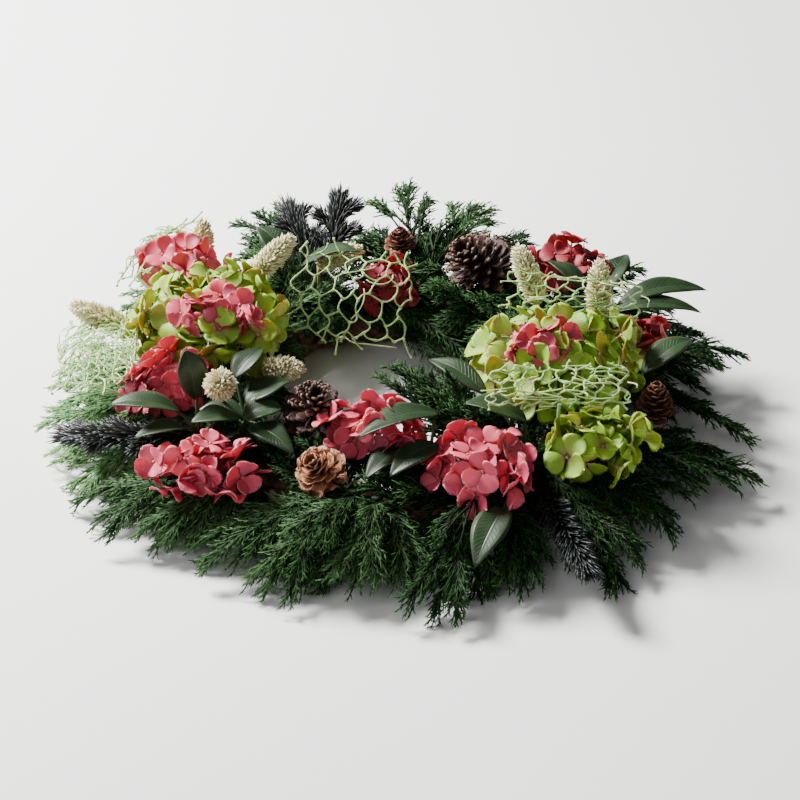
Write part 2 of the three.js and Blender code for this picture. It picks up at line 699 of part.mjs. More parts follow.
function leaf(bud, root, tip, width) {
  const rib = LEAF.along.map((t) => {
    const rise = root.distanceTo(tip) * LEAF.arch * 4 * t * (1 - t);
    return root.clone().lerp(tip, t).addScaledVector(UP, rise);
  });
  const start = bud.clone().lerp(root, Math.min(0.3, LEAF.stalk.into / bud.distanceTo(root)));
  const widths = [LEAF.stalk.width, ...LEAF.across.map((share) => share * width)];
  const thicknesses = [...LEAF.stalk.thickness, ...LEAF.along.slice(1).map(() => BLADE)];
  return piece((more) =>
    blade([start, ...rib], widths.map((w) => w + 2 * more), thicknesses.map((h) => h + 2 * more), LEAF.fold),
  );
}

function leafyTwig(name, { foot, leaves }) {
  const bud = point(foot);
  const pieces = [knob(bud, BUD.twig), stemInto(bud, LEAF.stalk.stem)];
  for (const { root, tip, width } of leaves) {
    const tries = LEAF.lengths.flatMap((share) =>
      LEAF.lifts.map((lift) => {
        const end = point(root).lerp(point(tip), share).addScaledVector(UP, lift);
        return leaf(bud, point(root), end, width);
      }),
    );
    pieces.push(tries.find((made) => isClear(made.guard)));
  }
  finish(name, "leaf", pieces);
}

// ---------------------------------------------------------------- fibre nets
// Flat strands run along the sides of uneven honeycomb cells, on a sheet that swells between its
// corners. The net is one thin plate: strands share the corners of the joints where they meet.
function fibreNet(name, { corners, swell, cells, seed }) {
  const random = seeded(seed);
  const [a, b, c, d] = corners.map(point);
  const [across, up] = cells;
  const wide = a.distanceTo(b);
  const high = a.distanceTo(d);
  const normal = b.clone().sub(a).cross(d.clone().sub(a)).normalize();
  const onSheet = (p, lift = 0) => {
    const [u, v] = [p.x / wide, p.y / high];
    const low = a.clone().lerp(b, u);
    const top = d.clone().lerp(c, u);
    const rise = swell * 16 * Math.max(0, u * (1 - u)) * Math.max(0, v * (1 - v));
    return low.lerp(top, v).addScaledVector(normal, rise + lift);
  };
  // A brick pattern whose joints are pulled up and down is a honeycomb.
  const joints = [];
  const jointAt = (i, j) => joints[j * (2 * across + 1) + i];
  for (let j = 0; j <= up; j++) {
    for (let i = 0; i <= 2 * across; i++) {
      const pull = ((i + j) % 2 === 0 ? NET.pull : -NET.pull) + NET.wander * (random() - 0.5);
      const u = THREE.MathUtils.clamp((i + NET.drift * (random() - 0.5)) / (2 * across), 0, 1);
      const v = THREE.MathUtils.clamp((j + pull) / up, 0, 1);
      joints.push({ flat: new THREE.Vector2(u * wide, v * high), strands: [] });
    }
  }
  const link = (from, to) => {
    const [p, q] = [onSheet(from.flat), onSheet(to.flat)];
    const bar = solid(tube([p, q], [NET.half + CLEARANCE, NET.half + CLEARANCE], 4));
    if (!isClear(bar)) return;
    const strand = { ends: [from, to], guard: bar };
    from.strands.push(strand);
    to.strands.push(strand);
  };
  for (let j = 0; j <= up; j++) {
    for (let i = 0; i <= 2 * across; i++) {
      if (i < 2 * across) link(jointAt(i, j), jointAt(i + 1, j));
      if (j < up && (i + j) % 2 === 0) link(jointAt(i, j), jointAt(i, j + 1));
    }
  }
  // The strands of a joint are sorted round it; between two neighbours lies a corner of the joint.
  const angleOf = (joint, strand) => {
    const other = strand.ends[0] === joint ? strand.ends[1] : strand.ends[0];
    return Math.atan2(other.flat.y - joint.flat.y, other.flat.x - joint.flat.x);
  };
  for (const joint of joints) {
    joint.strands.sort((s, t) => angleOf(joint, s) - angleOf(joint, t));
    const angles = joint.strands.map((s) => angleOf(joint, s));
    joint.corners = angles.map((from, i) => {
      const to = angles[(i + 1) % angles.length] + (i + 1 === angles.length ? 2 * Math.PI : 0);
      const gap = to - from;
      const half = (from + to) / 2;
      const out = Math.min(NET.half / Math.max(0.3, Math.sin(gap / 2)), NET.half * 2);
      return joint.flat.clone().add(new THREE.Vector2(Math.cos(half), Math.sin(half)).multiplyScalar(out));
    });
    if (angles.length === 1) {
      const side = new THREE.Vector2(-Math.sin(angles[0]), Math.cos(angles[0])).multiplyScalar(NET.half);
      joint.corners = [joint.flat.clone().add(side), joint.flat.clone().sub(side)];
    }
  }
  const netGeometry = (more) => {
    const h = NET.half + more;
    const triangles = [];
    const face = (p, q, r) => {
      triangles.push(onSheet(p, h), onSheet(q, h), onSheet(r, h));
      triangles.push(onSheet(p, -h), onSheet(r, -h), onSheet(q, -h));
    };
    const wall = (p, q) => {
      triangles.push(onSheet(p, h), onSheet(p, -h), onSheet(q, -h));
      triangles.push(onSheet(p, h), onSheet(q, -h), onSheet(q, h));
    };
    const sides = (joint, strand) => {
      const i = joint.strands.indexOf(strand);
      if (joint.strands.length === 1) return { after: joint.corners[0], before: joint.corners[1] };
      const count = joint.corners.length;
      return { after: joint.corners[i], before: joint.corners[(i + count - 1) % count] };
    };
    for (const joint of joints) {
      const count = joint.strands.length;
      for (let i = 1; i + 1 < count; i++) face(joint.corners[0], joint.corners[i], joint.corners[i + 1]);
      if (count === 1) wall(joint.corners[0], joint.corners[1]);
      for (const strand of joint.strands) {
        if (strand.ends[0] !== joint) continue;
        const [from, to] = [sides(joint, strand), sides(strand.ends[1], strand)];
        face(from.before, to.after, to.before);
        face(from.before, to.before, from.after);
        wall(from.before, to.after);
        wall(to.before, from.after);
      }
    }
    return closedGeometry(triangles);
  };
  const net = { body: solid(netGeometry(0)), guard: solid(netGeometry(CLEARANCE)) };
  const largest = net.body.decompose().sort((p, q) => q.volume() - p.volume())[0];
  const low = joints.filter((joint) => joint.strands.length > 1).sort((p, q) => p.flat.y - q.flat.y);
  let stem = null;
  for (const joint of low) {
    const at = onSheet(joint.flat);
    const touch = solid(tube([at, at.clone().addScaledVector(UP, 0.3)], [0.3, 0.3]));
    if (largest.intersect(touch).volume() < 1e-4) continue;
    stem = stemInto(at, NET.stem);
    if (stem) break;
  }
  finish(name, "net", [{ body: largest, guard: net.guard }, stem]);
}

// ---------------------------------------------------------------- fir sprigs
function firSprig(name, { foot, shoots }) {
  const others = placed.filter((other) => other.name !== "ring");
  const wayOut = ({ first, second }, turn) =>
    first.clone().multiplyScalar(Math.cos(turn)).addScaledVector(second, Math.sin(turn));
  const pieces = shoots.map(({ through, tip, spans }) => {
    const curve = new THREE.CatmullRomCurve3([point(foot), point(through), point(tip)]);
    const stations = Array.from({ length: spans + 1 }, (_, i) => {
      const t = i / spans;
      return { t, at: curve.getPointAt(t), ...squareTo(curve.getTangentAt(t)) };
    });
    const turnOf = (i, j) => ((j + i * 0.5) / 3) * 2 * Math.PI;
    const rings = (more) =>
      stations.map((station, i) =>
        [0, 1, 2].map((j) => {
          const radius = SHOOT.radius - SHOOT.taper * station.t + more;
          return station.at.clone().addScaledVector(wayOut(station, turnOf(i, j)), radius);
        }),
      );
    const twig = solid(needled(rings(CLEARANCE), []));
    const guards = [twig];
    const tips = stations.slice(0, -1).map((station, i) =>
      [0, 1, 2].map((j) => {
        if (station.t < NEEDLE.from) return null;
        const out = wayOut(station, turnOf(i, j + 0.5));
        const way = station.along.clone().multiplyScalar(NEEDLE.lean).add(out).normalize();
        const end = station.at.clone().addScaledVector(way, NEEDLE.length);
        const guard = solid(tube([station.at, end], NEEDLE.guard.map((radius) => radius + CLEARANCE)));
        if (!isClear(guard, others)) return null;
        guards.push(guard);
        return end;
      }),
    );
    return { body: solid(needled(rings(0), tips)), guard: fused(guards) };
  });
  finish(name, "fir", [...pieces, stemInto(point(foot), SHOOT.radius)]);
}

// ---------------------------------------------------------------- cypress sprays
// One frond: a feather whose branchlets are as long as what stands round them allows.
const SHORTER = [1, 0.8, 0.6, 0.4, 0.22, 0.1];
// A branchlet's angle to the rib and how it closes, its length against half the frond's width, how
// far it lifts or drops, and the room it needs; and the rib's half width and how it tapers.
const BRANCHLET = { angle: 46, closing: 18, least: 0.45, more: 0.85, lift: 0.1, room: [2.4, 1.2] };
const RIB = { half: 1.6, taper: 1 };

function frond(curve, { width, span }, siblings) {
  const spans = Math.max(3, Math.round(curve.getLength() / span));
  const others = [...placed, ...siblings];
  const normal = squareTo(curve.getTangentAt(0.6)).first;
  const station = (t) => ({ at: curve.getPointAt(t), ...squareTo(curve.getTangentAt(t), normal) });
  const ribHalf = (t) => RIB.half - RIB.taper * t;
  const side = (sign, shift) => {
    const ts = Array.from({ length: spans + 1 }, (_, i) => (i + (i > 0 && i < spans ? shift : 0)) / spans);
    const roots = ts.map((t) => {
      const { at, second } = station(t);
      return at.addScaledVector(second, sign * ribHalf(t));
    });
    const tips = ts.slice(0, -1).map((t, i) => {
      if (i === 0) return null;
      const { along, first, second } = station(t);
      const spread = radians(BRANCHLET.angle - BRANCHLET.closing * t);
      const full = (width / 2) * (BRANCHLET.least + BRANCHLET.more * Math.sin(Math.PI * (0.16 + 0.8 * t)));
      const way = along.clone().multiplyScalar(Math.cos(spread));
      way.addScaledVector(second, sign * Math.sin(spread));
      way.addScaledVector(first, BRANCHLET.lift * (i % 2 === 0 ? 1 : -1));
      const root = roots[i].clone().lerp(roots[i + 1], 0.5);
      const ends = SHORTER.map((share) => {
        const end = root.clone().addScaledVector(way, full * share);
        return end.setZ(Math.max(end.z, FLOOR_GAP + 1));
      });
      const free = ends.find((end) => isClear(solid(tube([root, end], BRANCHLET.room)), others));
      return free ?? ends[ends.length - 1];
    });
    return { roots, tips };
  };
  const [left, right] = [side(-1, 0), side(1, 0.5)];
  return piece((more) => feather(left, right, normal, BLADE + 2 * more));
}

// Where a frond's own way is blocked, it is tried a little to the side, higher or lower.
const TURNS = [0, 4, -4, 8, -8, 12, -12];
const LIFTS = [0, 5, -5, 10];
const START_LIFTS = [-2.4, 0, 2.4, 1.2, -1.2]; // the fronds of a spray leave its bud at different heights

function clearFrond(bud, [angle, radius, height], shape, siblings) {
  const from = bud.clone().setZ(bud.z + START_LIFTS[siblings.length]);
  for (const turn of TURNS) {
    for (const lift of LIFTS) {
      const tip = polar(angle + turn, radius, Math.max(height + lift, FLOOR_GAP + 2));
      const middle = from.clone().lerp(tip, 0.5).addScaledVector(UP, shape.arch);
      const start = middle.clone().sub(from).setLength(0.5).add(from);
      const made = frond(new THREE.CatmullRomCurve3([start, middle, tip]), shape, siblings);
      if (isClear(made.guard)) return made;
    }
  }
  return null;
}

function spray(name, { fork, tips, level = 0 }, { radii, heights }, shape) {
  const others = placed.filter((other) => other.name !== "ring");
  const stemAt = (turn, i) => {
    const inside = polar(fork + turn, RING.radius, RING.halfHeight);
    const from = polar(fork + turn, radii[i], heights[i]);
    const stem = piece((more) => tube([inside, from], SPRAY_STEM.map((radius) => radius + more)));
    return { from, inside, bud: knob(from, BUD.spray), stem };
  };
  const levels = [0, 1, 2].filter((i) => i >= level);
  const tries = levels.flatMap((i) => TURNS.map((turn) => stemAt(turn, i)));
  const found = tries.find(({ stem, bud }) => isClear(stem.guard, others) && isClear(bud.guard));
  if (!found) return;
  const { from, inside, bud, stem } = found;
  const past = inside.clone().sub(from).setLength(2 * SOCKET_GAP).add(inside);
  const wide = SPRAY_STEM[0] + SOCKET_GAP * 1.5;
  sockets.push(solid(tube([past, from], [wide, wide])));
  const fronds = [];
  for (const tip of tips) {
    const siblings = fronds.map(({ guard }) => ({ body: guard, box: guard.boundingBox() }));
    const made = clearFrond(from, tip, shape, siblings);
    if (made) fronds.push(made);
  }
  finish(name, "cypress", [stem, bud, ...fronds]);
}

// ---------------------------------------------------------------- the wreath
const ringBody = vineRing();
keep(ringBody, ringBody, "ring");
const hole = solid(new THREE.BoxGeometry(2 * HOLE.halfSide, 2 * HOLE.halfSide, HOLE.top * 2));
keep(hole, hole, "hole");

for (const [name, spec] of Object.entries(PINE_CONES)) cone(name, "pine_cone", spec);
for (const [name, spec] of Object.entries(LARCH_CONES)) cone(name, "larch_cone", spec);
for (const [name, spec] of Object.entries(GRASS_HEADS)) grassHead(name, spec);
for (const [name, spec] of Object.entries(HYDRANGEAS)) hydrangea(name, spec);
for (const [name, spec] of Object.entries(LEAFY_TWIGS)) leafyTwig(name, spec);
for (const [name, spec] of Object.entries(NETS)) fibreNet(name, spec);
for (const [name, spec] of Object.entries(FIR_SPRIGS)) firSprig(name, spec);
INNER_SPRAYS.forEach((spec, i) => spray(`cypress_inner_${i + 1}`, spec, FORKS.inner, INNER_FROND));
OUTER_SPRAYS.forEach((spec, i) => spray(`cypress_outer_${i + 1}`, spec, FORKS.outer, OUTER_FROND));

const guards = placed.slice(2).map((other) => other.guard);
const drilled = [...sockets, ...guards].reduce((ring, cut) => ring.subtract(cut), ringBody);
keep(drilled, drilled, "vine_ring", "vine");

export default wreath;
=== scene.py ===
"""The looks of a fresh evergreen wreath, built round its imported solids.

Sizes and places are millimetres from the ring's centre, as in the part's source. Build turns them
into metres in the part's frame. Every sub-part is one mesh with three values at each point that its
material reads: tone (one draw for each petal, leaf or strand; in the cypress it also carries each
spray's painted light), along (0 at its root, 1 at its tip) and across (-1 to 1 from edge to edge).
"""

import math

import bpy
import numpy as np
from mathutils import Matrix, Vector


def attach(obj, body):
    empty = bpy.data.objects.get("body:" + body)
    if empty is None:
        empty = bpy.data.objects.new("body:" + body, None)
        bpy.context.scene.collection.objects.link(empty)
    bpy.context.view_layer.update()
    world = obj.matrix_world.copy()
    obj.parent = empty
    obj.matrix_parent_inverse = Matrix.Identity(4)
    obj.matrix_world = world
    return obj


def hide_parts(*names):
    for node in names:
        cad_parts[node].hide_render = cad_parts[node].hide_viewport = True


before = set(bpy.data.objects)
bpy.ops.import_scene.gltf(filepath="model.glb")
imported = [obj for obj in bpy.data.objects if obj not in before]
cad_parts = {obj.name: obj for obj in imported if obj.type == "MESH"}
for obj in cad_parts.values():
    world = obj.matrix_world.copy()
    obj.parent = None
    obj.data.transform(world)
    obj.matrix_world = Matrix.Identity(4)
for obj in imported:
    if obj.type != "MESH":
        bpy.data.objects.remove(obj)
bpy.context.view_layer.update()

MM = 0.001
RING_CENTRE = np.array([1.5, -4.4, 0.0])
UP = np.array([0.0, 0.0, 1.0])
GOLDEN = math.pi * (3 - math.sqrt(5))
LOWEST = 1.4  # the middle lines of shoots and petals come no nearer to the table

# ---- the wreath's sizes and places
RING = {"radius": 110, "half_width": 16, "half_height": 13}

# Each cone: its middle, its radius and length, the way it points, its scales and its material.
PINE_CONES = {
    "pine_cone_front": ((-51, -61, 56), 19.5, 35, (0.1, -0.4, 0.9), 66, "pine_cone"),
    "pine_cone_back": ((52, 114, 54), 24, 40, (-0.5, -0.3, 0.7), 78, "pine_cone"),
}
LARCH_CONES = {
    "larch_cone_front": ((-47, -111, 47), 16.5, 30, (-0.3, -0.5, 0.8), 42, "larch_cone"),
    "larch_cone_right": ((155, -46, 50), 13, 30, (0, -0.1, 1), 42, "larch_dark"),
    "larch_cone_back": ((0, 138, 58), 11, 20, (0, -0.2, 1), 42, "larch_dark"),
}
GRASS = {"length": 42, "radius": 8.0, "spikelets": 1.35, "spikelet": 5.0, "thickness": 0.9}
# Each grass head: its middle, the way it points, and its length and radius where they differ.
GRASS_HEADS = {
    "grass_head_top_left": ((-131, 105, 76), (0.1, 0.3, 1), 32),
    "grass_head_back_left": ((-82, 72, 84), (0.65, 0.25, 0.6)),
    "grass_head_left": ((-190, 22, 70), (-0.9, 0, 0.42)),
    "grass_head_right": ((80, 34, 94), (-0.35, 0.2, 0.9)),
    "grass_head_far_right": ((125, 30, 85), (0, 0.2, 1)),
    "grass_head_inner": ((-72, -26, 62), (0.8, -0.3, 0.2), 28),
    "grass_head_back": ((-40, 108, 64), (0.9, 0.15, 0.25), 34),
    "grass_head_front": ((-107, -62, 74), (0, -0.75, 0.6), 24, 10.5),
}
# Each head: its middle, its half sizes, its florets, their radius and petals, and its stem's lean.
HYDRANGEAS = {
    "pink_hydrangea_in_left": ((-112, -2, 86), (19, 13, 11), 11, 11.5, "pink", -13),
    "pink_hydrangea_in_right": ((86, -36, 84), (16, 12, 11), 9, 12, "pink", 12),
    "green_hydrangea_left": ((-120, 22, 60), (46, 42, 31), 46, 15.5, "green"),
    "green_hydrangea_right": ((98, -24, 58), (46, 36, 30), 42, 15.5, "green"),
    "green_hydrangea_low_right": ((117, -88, 46), (26, 20, 20), 16, 15, "green"),
    "pink_hydrangea_top_left": ((-142, 82, 68), (25, 15, 15), 14, 13, "pink"),
    "pink_hydrangea_left": ((-142, -28, 50), (23, 20, 20), 15, 13, "pink"),
    "pink_hydrangea_front_left": ((-113, -104, 38), (29, 18, 17), 16, 13, "pink"),
    "pink_hydrangea_centre": ((-16, -80, 50), (23, 17, 19), 15, 12.5, "pink"),
    "pink_hydrangea_front": ((48, -112, 46), (27, 25, 20), 19, 13, "pink"),
    "pink_hydrangea_right": ((152, 14, 56), (14, 12, 13), 9, 10.5, "red"),
    "red_hydrangea_back": ((-6, 94, 46), (16, 12, 16), 10, 11, "red"),
    "red_hydrangea_back_right": ((114, 112, 52), (23, 16, 15), 13, 12, "red"),
}
# Each twig: its foot and its leaves, and each leaf: its root, its tip and its width.
LEAFY_TWIGS = {
    "leafy_twig_left": ((-92, -62, 46), [
        ((-94, -56, 57), (-66, -43, 65), 24), ((-94, -70, 54), (-70, -64, 59), 22),
        ((-100, -46, 68), (-83, -25, 77), 18), ((-90, -72, 51), (-62, -98, 50), 20),
        ((-96, -68, 54), (-124, -80, 60), 20), ((-82, -72, 50), (-66, -90, 50), 15),
        ((-96, -74, 48), (-116, -92, 50), 18), ((-92, -60, 50), (-122, -60, 54), 18)]),
    "leafy_twig_far_left": ((-122, -62, 38), [
        ((-132, -64, 56), (-174, -64, 62), 17), ((-122, -58, 60), (-128, -50, 92), 19),
        ((-128, -70, 48), (-158, -82, 50), 15)]),
    "leafy_twig_back_left": ((-64, 104, 44), [
        ((-66, 98, 60), (-26, 88, 80), 26), ((-72, 106, 58), (-96, 132, 74), 22)]),
    "leafy_twig_back_right": ((130, 62, 42), [
        ((142, 70, 50), (202, 84, 54), 18), ((138, 62, 48), (196, 62, 50), 16),
        ((124, 74, 54), (96, 90, 72), 19), ((134, 78, 52), (152, 116, 62), 17)]),
    "leafy_twig_right": ((136, -36, 42), [((148, -26, 58), (180, -10, 74), 18)]),
    "leafy_twig_centre": ((74, -74, 40), [
        ((52, -56, 62), (17, -26, 70), 16), ((76, -72, 54), (38, -68, 66), 21)]),
    "leafy_twig_front": ((14, -104, 36), [
        ((23, -80, 66), (-25, -105, 67), 24), ((2, -94, 50), (-20, -120, 48), 17),
        ((22, -96, 55), (-6, -123, 52), 20)]),
    "leafy_twig_low_front": ((66, -116, 34), [((60, -138, 40), (42, -176, 28), 21)]),
}
# Each net: its corners in order round it, how far its middle swells, its cells each way, and how
# many loose fibres lie tangled on it.
NETS = {
    "fibre_net_back": ([(-74, 52, 40), (2, 50, 32), (12, 80, 74), (-66, 84, 82)], 9, (6, 4), 4),
    "fibre_net_top_right": ([(66, 8, 84), (148, 4, 78), (150, 17, 96), (68, 21, 104)], 8, (7, 3), 14),
    "fibre_net_low_right": ([(52, -80, 71), (135, -84, 76), (133, -68, 91), (54, -68, 88)], 5, (8, 3), 22),
    "fibre_net_left": ([(-212, -30, 50), (-166, -36, 62), (-166, 22, 70), (-212, 30, 56)], 7, (5, 5), 120),
    "fibre_net_top_left": ([(-184, 70, 66), (-158, 66, 80), (-138, 124, 80), (-168, 130, 66)], 6, (3, 6), 30),
}
# Each sprig: its foot, its shoots as (middle, tip), and whether they have side shoots.
FIR_SPRIGS = {
    "fir_sprig_left": ((-108, -42, 26), [((-152, -61, 36), (-201, -54, 32))], True),
    "fir_sprig_back": ((-52, 112, 30), [((-62, 136, 48), (-76, 168, 64)),
                                        ((-46, 140, 50), (-42, 170, 70))], True),
    "fir_sprig_front": ((84, -96, 24), [((92, -134, 30), (104, -176, 28))], False),
}
# Cypress sprays: the angle of the fork beside the ring, the fronds' tips as (angle, radius, height),
# and how much painted light the spray has: paler on the left, where the light falls strongly.
OUTER = {"fork_radius": 121, "fork_height": 33, "arch": 9, "width": 62, "tiers": 3, "drop": 6, "beyond": 6,
         "shorter": 0.2, "arm": 14.0, "slope": 0.6, "collar": 12}
INNER = {"fork_radius": 99, "fork_height": 34, "arch": 5, "width": 34, "tiers": 2, "drop": 5, "beyond": 6,
         "shorter": -0.06, "arm": 10.5, "collar": 9}
OUTER_SPRAYS = [
    (8, [(357, 206, 9), (12, 208, 28), (4, 180, 44), (22, 122, 44)], 0.02),
    (36, [(27, 206, 14), (42, 196, 36), (52, 130, 44)], 0.03),
    (58, [(52, 190, 20), (68, 188, 34), (58, 172, 40)], 0.04),
    (82, [(80, 192, 24), (74, 190, 56), (90, 184, 66), (101, 170, 38)], 0.12),
    (117, [(110, 184, 16), (119, 196, 58), (134, 130, 40)], 0.08),
    (145, [(134, 204, 22), (149, 204, 36)], 0.4),
    (178, [(168, 212, 16), (179, 212, 10), (190, 208, 10)], 0.8),
    (194, [(199, 204, 6), (188, 186, 34)], 0.5),
    (214, [(211, 203, 8), (223, 188, 6)], 0.12),
    (250, [(232, 178, 7), (246, 182, 5), (262, 172, 16), (252, 162, 36)], 0.07),
    (283, [(276, 186, 4), (292, 180, 10), (282, 160, 34)], 0.04),
    (318, [(308, 200, 6), (324, 190, 14), (342, 210, 12)], 0.01),
]
# The last number is how steeply the space kept clear round each ornament opens.
INNER_SPRAYS = [
    (52, [(78, 80, 56), (64, 68, 36), (34, 68, 40)], 0.07, 2.2),
    (108, [(130, 74, 36), (88, 72, 34)], 0.05, 2.2),
    (172, [(200, 74, 44), (150, 72, 36)], 0.12, 2.2),
    (236, [(252, 67, 72), (228, 66, 40), (267, 86, 35)], 0.04, 2.2),
    (318, [(342, 70, 44), (284, 47, 68), (267, 45, 74), (300, 76, 60), (268, 86, 35)], 0.04, 6),
]


# ---- small helpers
def unit(vectors):
    vectors = np.asarray(vectors, float)
    return vectors / np.maximum(np.linalg.norm(vectors, axis=-1, keepdims=True), 1e-9)


def square_to(directions, hint=UP):
    """Each direction, the hint made square to it, and the third direction."""
    along = unit(directions)
    hint = np.broadcast_to(hint, along.shape)
    first = unit(hint - along * (along * hint).sum(-1, keepdims=True))
    return along, first, np.cross(along, first)


def safe_hint(directions):
    """A hint that isn't along any of the directions: up, or sideways for upright ones."""
    upright = np.abs(unit(directions)[..., 2:]) > 0.9
    return np.where(upright, np.array([1.0, 0.2, 0.0]), UP)


def polar(degrees, radius, z):
    a = np.radians(degrees)
    return np.array([radius * np.cos(a), radius * np.sin(a), z])


def curve(points, count):
    """A smooth curve through three points."""
    start, middle, end = (np.asarray(p, float) for p in points)
    control = 2 * middle - 0.5 * (start + end)
    t = np.linspace(0, 1, count)[:, None]
    return (1 - t) ** 2 * start + 2 * t * (1 - t) * control + t ** 2 * end


def arched(start, end, rise, count):
    """A curve between two points whose middle is raised."""
    start, end = np.asarray(start, float), np.asarray(end, float)
    return curve((start, 0.5 * (start + end) + UP * rise, end), count)


def path_length(path):
    return np.linalg.norm(np.diff(path, axis=0), axis=1).sum()


def around(axis, turn):
    """Directions square to an axis, turned round it."""
    _, first, second = square_to(axis, safe_hint(axis))
    return first * np.cos(turn)[:, None] + second * np.sin(turn)[:, None]


def at_shares(path, shares):
    """Points at shares of a path's length, its directions there, and two directions square to each."""
    places = np.clip(shares, 0, 1) * (len(path) - 1)
    low = np.minimum(places.astype(int), len(path) - 2)
    part = (places - low)[:, None]
    forward = square_to(unit(path[low + 1] - path[low]), safe_hint(path[-1] - path[0]))
    return (path[low] * (1 - part) + path[low + 1] * part, *forward)


ROOM = {"petals": 4, "above": 2, "cone": 3, "grass": (11, 12), "leaf": 2, "net": (9, 3), "reach": 40}


def ornament_rooms():
    """Middles, radii and half heights of the balls that the ornaments fill."""
    rooms = []
    for at, (x, y, z), *_ in HYDRANGEAS.values():
        rooms.append((at, 0.5 * (x + y) + ROOM["petals"], z + ROOM["above"]))
    for at, radius, length, *_ in (*PINE_CONES.values(), *LARCH_CONES.values()):
        rooms.append((at, radius + ROOM["cone"], 0.5 * length))
    for at, *_ in GRASS_HEADS.values():
        rooms.append((at, *ROOM["grass"]))
    for _, leaves in LEAFY_TWIGS.values():
        for root, tip, width in leaves:
            for share in (0.3, 0.6, 0.9):
                place = np.asarray(root) * (1 - share) + np.asarray(tip) * share
                rooms.append((place, 0.5 * width, ROOM["leaf"]))
    for corners, *_ in NETS.values():
        a, b, c, d = (np.asarray(p, float) for p in corners)
        for u in (0.1, 0.5, 0.9):
            for v in (0.15, 0.5, 0.85):
                rooms.append(((a + (b - a) * u) * (1 - v) + (d + (c - d) * u) * v, *ROOM["net"]))
    return tuple(np.array([room[part] for room in rooms], float) for part in range(3))


def beside_ornaments(points, slope):
    """Which points lie outside the space that opens upwards from each ornament's waist."""
    middles, radii, half_heights = ROOMS
    away = np.hypot(points[:, None, 0] - middles[:, 0], points[:, None, 1] - middles[:, 1])
    limit = middles[:, 2] - 0.5 * half_heights + slope * np.maximum(away - radii, 0)
    near = away < radii + ROOM["reach"]
    return ~(near & (points[:, None, 2] > limit)).any(1)


ROOMS = ornament_rooms()


class Shape:
    """The points, faces and values of one piece."""

    def __init__(self):
        self.points, self.values, self.quads, self.tris = [], [], [], []
        self.size = 0

    def add(self, points, quads, tris=None, tone=0.5, along=0.0, across=0.0):
        lead = points.shape[:-1]
        values = [np.broadcast_to(v, lead).reshape(-1) for v in (tone, along, across)]
        self.points.append(points.reshape(-1, 3))
        self.values.append(np.stack(values, -1))
        self.quads.append(quads.reshape(-1, 4) + self.size)
        if tris is not None:
            self.tris.append(tris.reshape(-1, 3) + self.size)
        self.size += len(self.points[-1])

    def build(self, name, material):
        """The piece as a Blender object that stands for the CAD node of its name."""
        points = np.concatenate(self.points) + RING_CENTRE
        quads = np.concatenate(self.quads)
        tris = np.concatenate(self.tris) if self.tris else np.zeros((0, 3), int)
        values = np.concatenate(self.values)
        mesh = bpy.data.meshes.new(name)
        mesh.vertices.add(len(points))
        mesh.vertices.foreach_set("co", (points * MM).astype(np.float32).ravel())
        corners = np.concatenate([quads.ravel(), tris.ravel()])
        starts = np.concatenate([np.arange(len(quads)) * 4, len(quads) * 4 + np.arange(len(tris)) * 3])
        mesh.loops.add(len(corners))
        mesh.loops.foreach_set("vertex_index", corners.astype(np.int32))
        mesh.polygons.add(len(starts))
        mesh.polygons.foreach_set("loop_start", starts.astype(np.int32))
        mesh.polygons.foreach_set("use_smooth", np.full(len(starts), True))
        for column, title in enumerate(("tone", "along", "across")):
            attribute = mesh.attributes.new(title, "FLOAT", "POINT")
            attribute.data.foreach_set("value", values[:, column].astype(np.float32))
        mesh.update(calc_edges=True)
        mesh.validate()
        mesh.materials.append(material)
        piece = bpy.data.objects.new("look_" + name, mesh)
        bpy.context.scene.collection.objects.link(piece)
        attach(piece, "root")
        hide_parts(name)


def tube_faces(n, k, sides):
    """The quads round n tubes of k rings, and the triangles that close their ends."""
    index = np.arange(n * k * sides).reshape(n, k, sides)
    turned = np.roll(index, -1, axis=2)
    quads = np.stack([index[:, :-1], turned[:, :-1], turned[:, 1:], index[:, 1:]], -1)
    foot, tip = index[:, 0], index[:, -1]
    fans = [np.stack([foot[:, 0], foot[:, j + 1], foot[:, j]], -1) for j in range(1, sides - 1)]
    fans += [np.stack([tip[:, 0], tip[:, j], tip[:, j + 1]], -1) for j in range(1, sides - 1)]
    return quads, np.concatenate(fans)


def add_tubes(shape, paths, radii, sides=3, tone=0.5, along=None):
    """Closed tubes along paths (n, k, 3) with radii (n, k)."""
    n, k, _ = paths.shape
    radii = np.broadcast_to(radii, (n, k))
    tangents = np.gradient(paths, axis=1)
    hint = safe_hint(paths[:, -1] - paths[:, 0])[:, None]
    _, first, second = square_to(tangents, hint)
    turn = np.arange(sides) * 2 * math.pi / sides
    ring = first[:, :, None] * np.cos(turn)[:, None] + second[:, :, None] * np.sin(turn)[:, None]
    points = paths[:, :, None] + radii[:, :, None, None] * ring
    if along is None:
        along = np.linspace(0, 1, k)[None, :, None]
    shape.add(points, *tube_faces(n, k, sides), np.reshape(tone, (-1, 1, 1)), along, 0.0)


def placed(origins, x, y, z, way, side, lift):
    """Grids of points measured along three directions from each origin."""
    return origins[:, None, None] + x[..., None] * way[:, None, None] \
        + y[..., None] * side[:, None, None] + z[..., None] * lift[:, None, None]


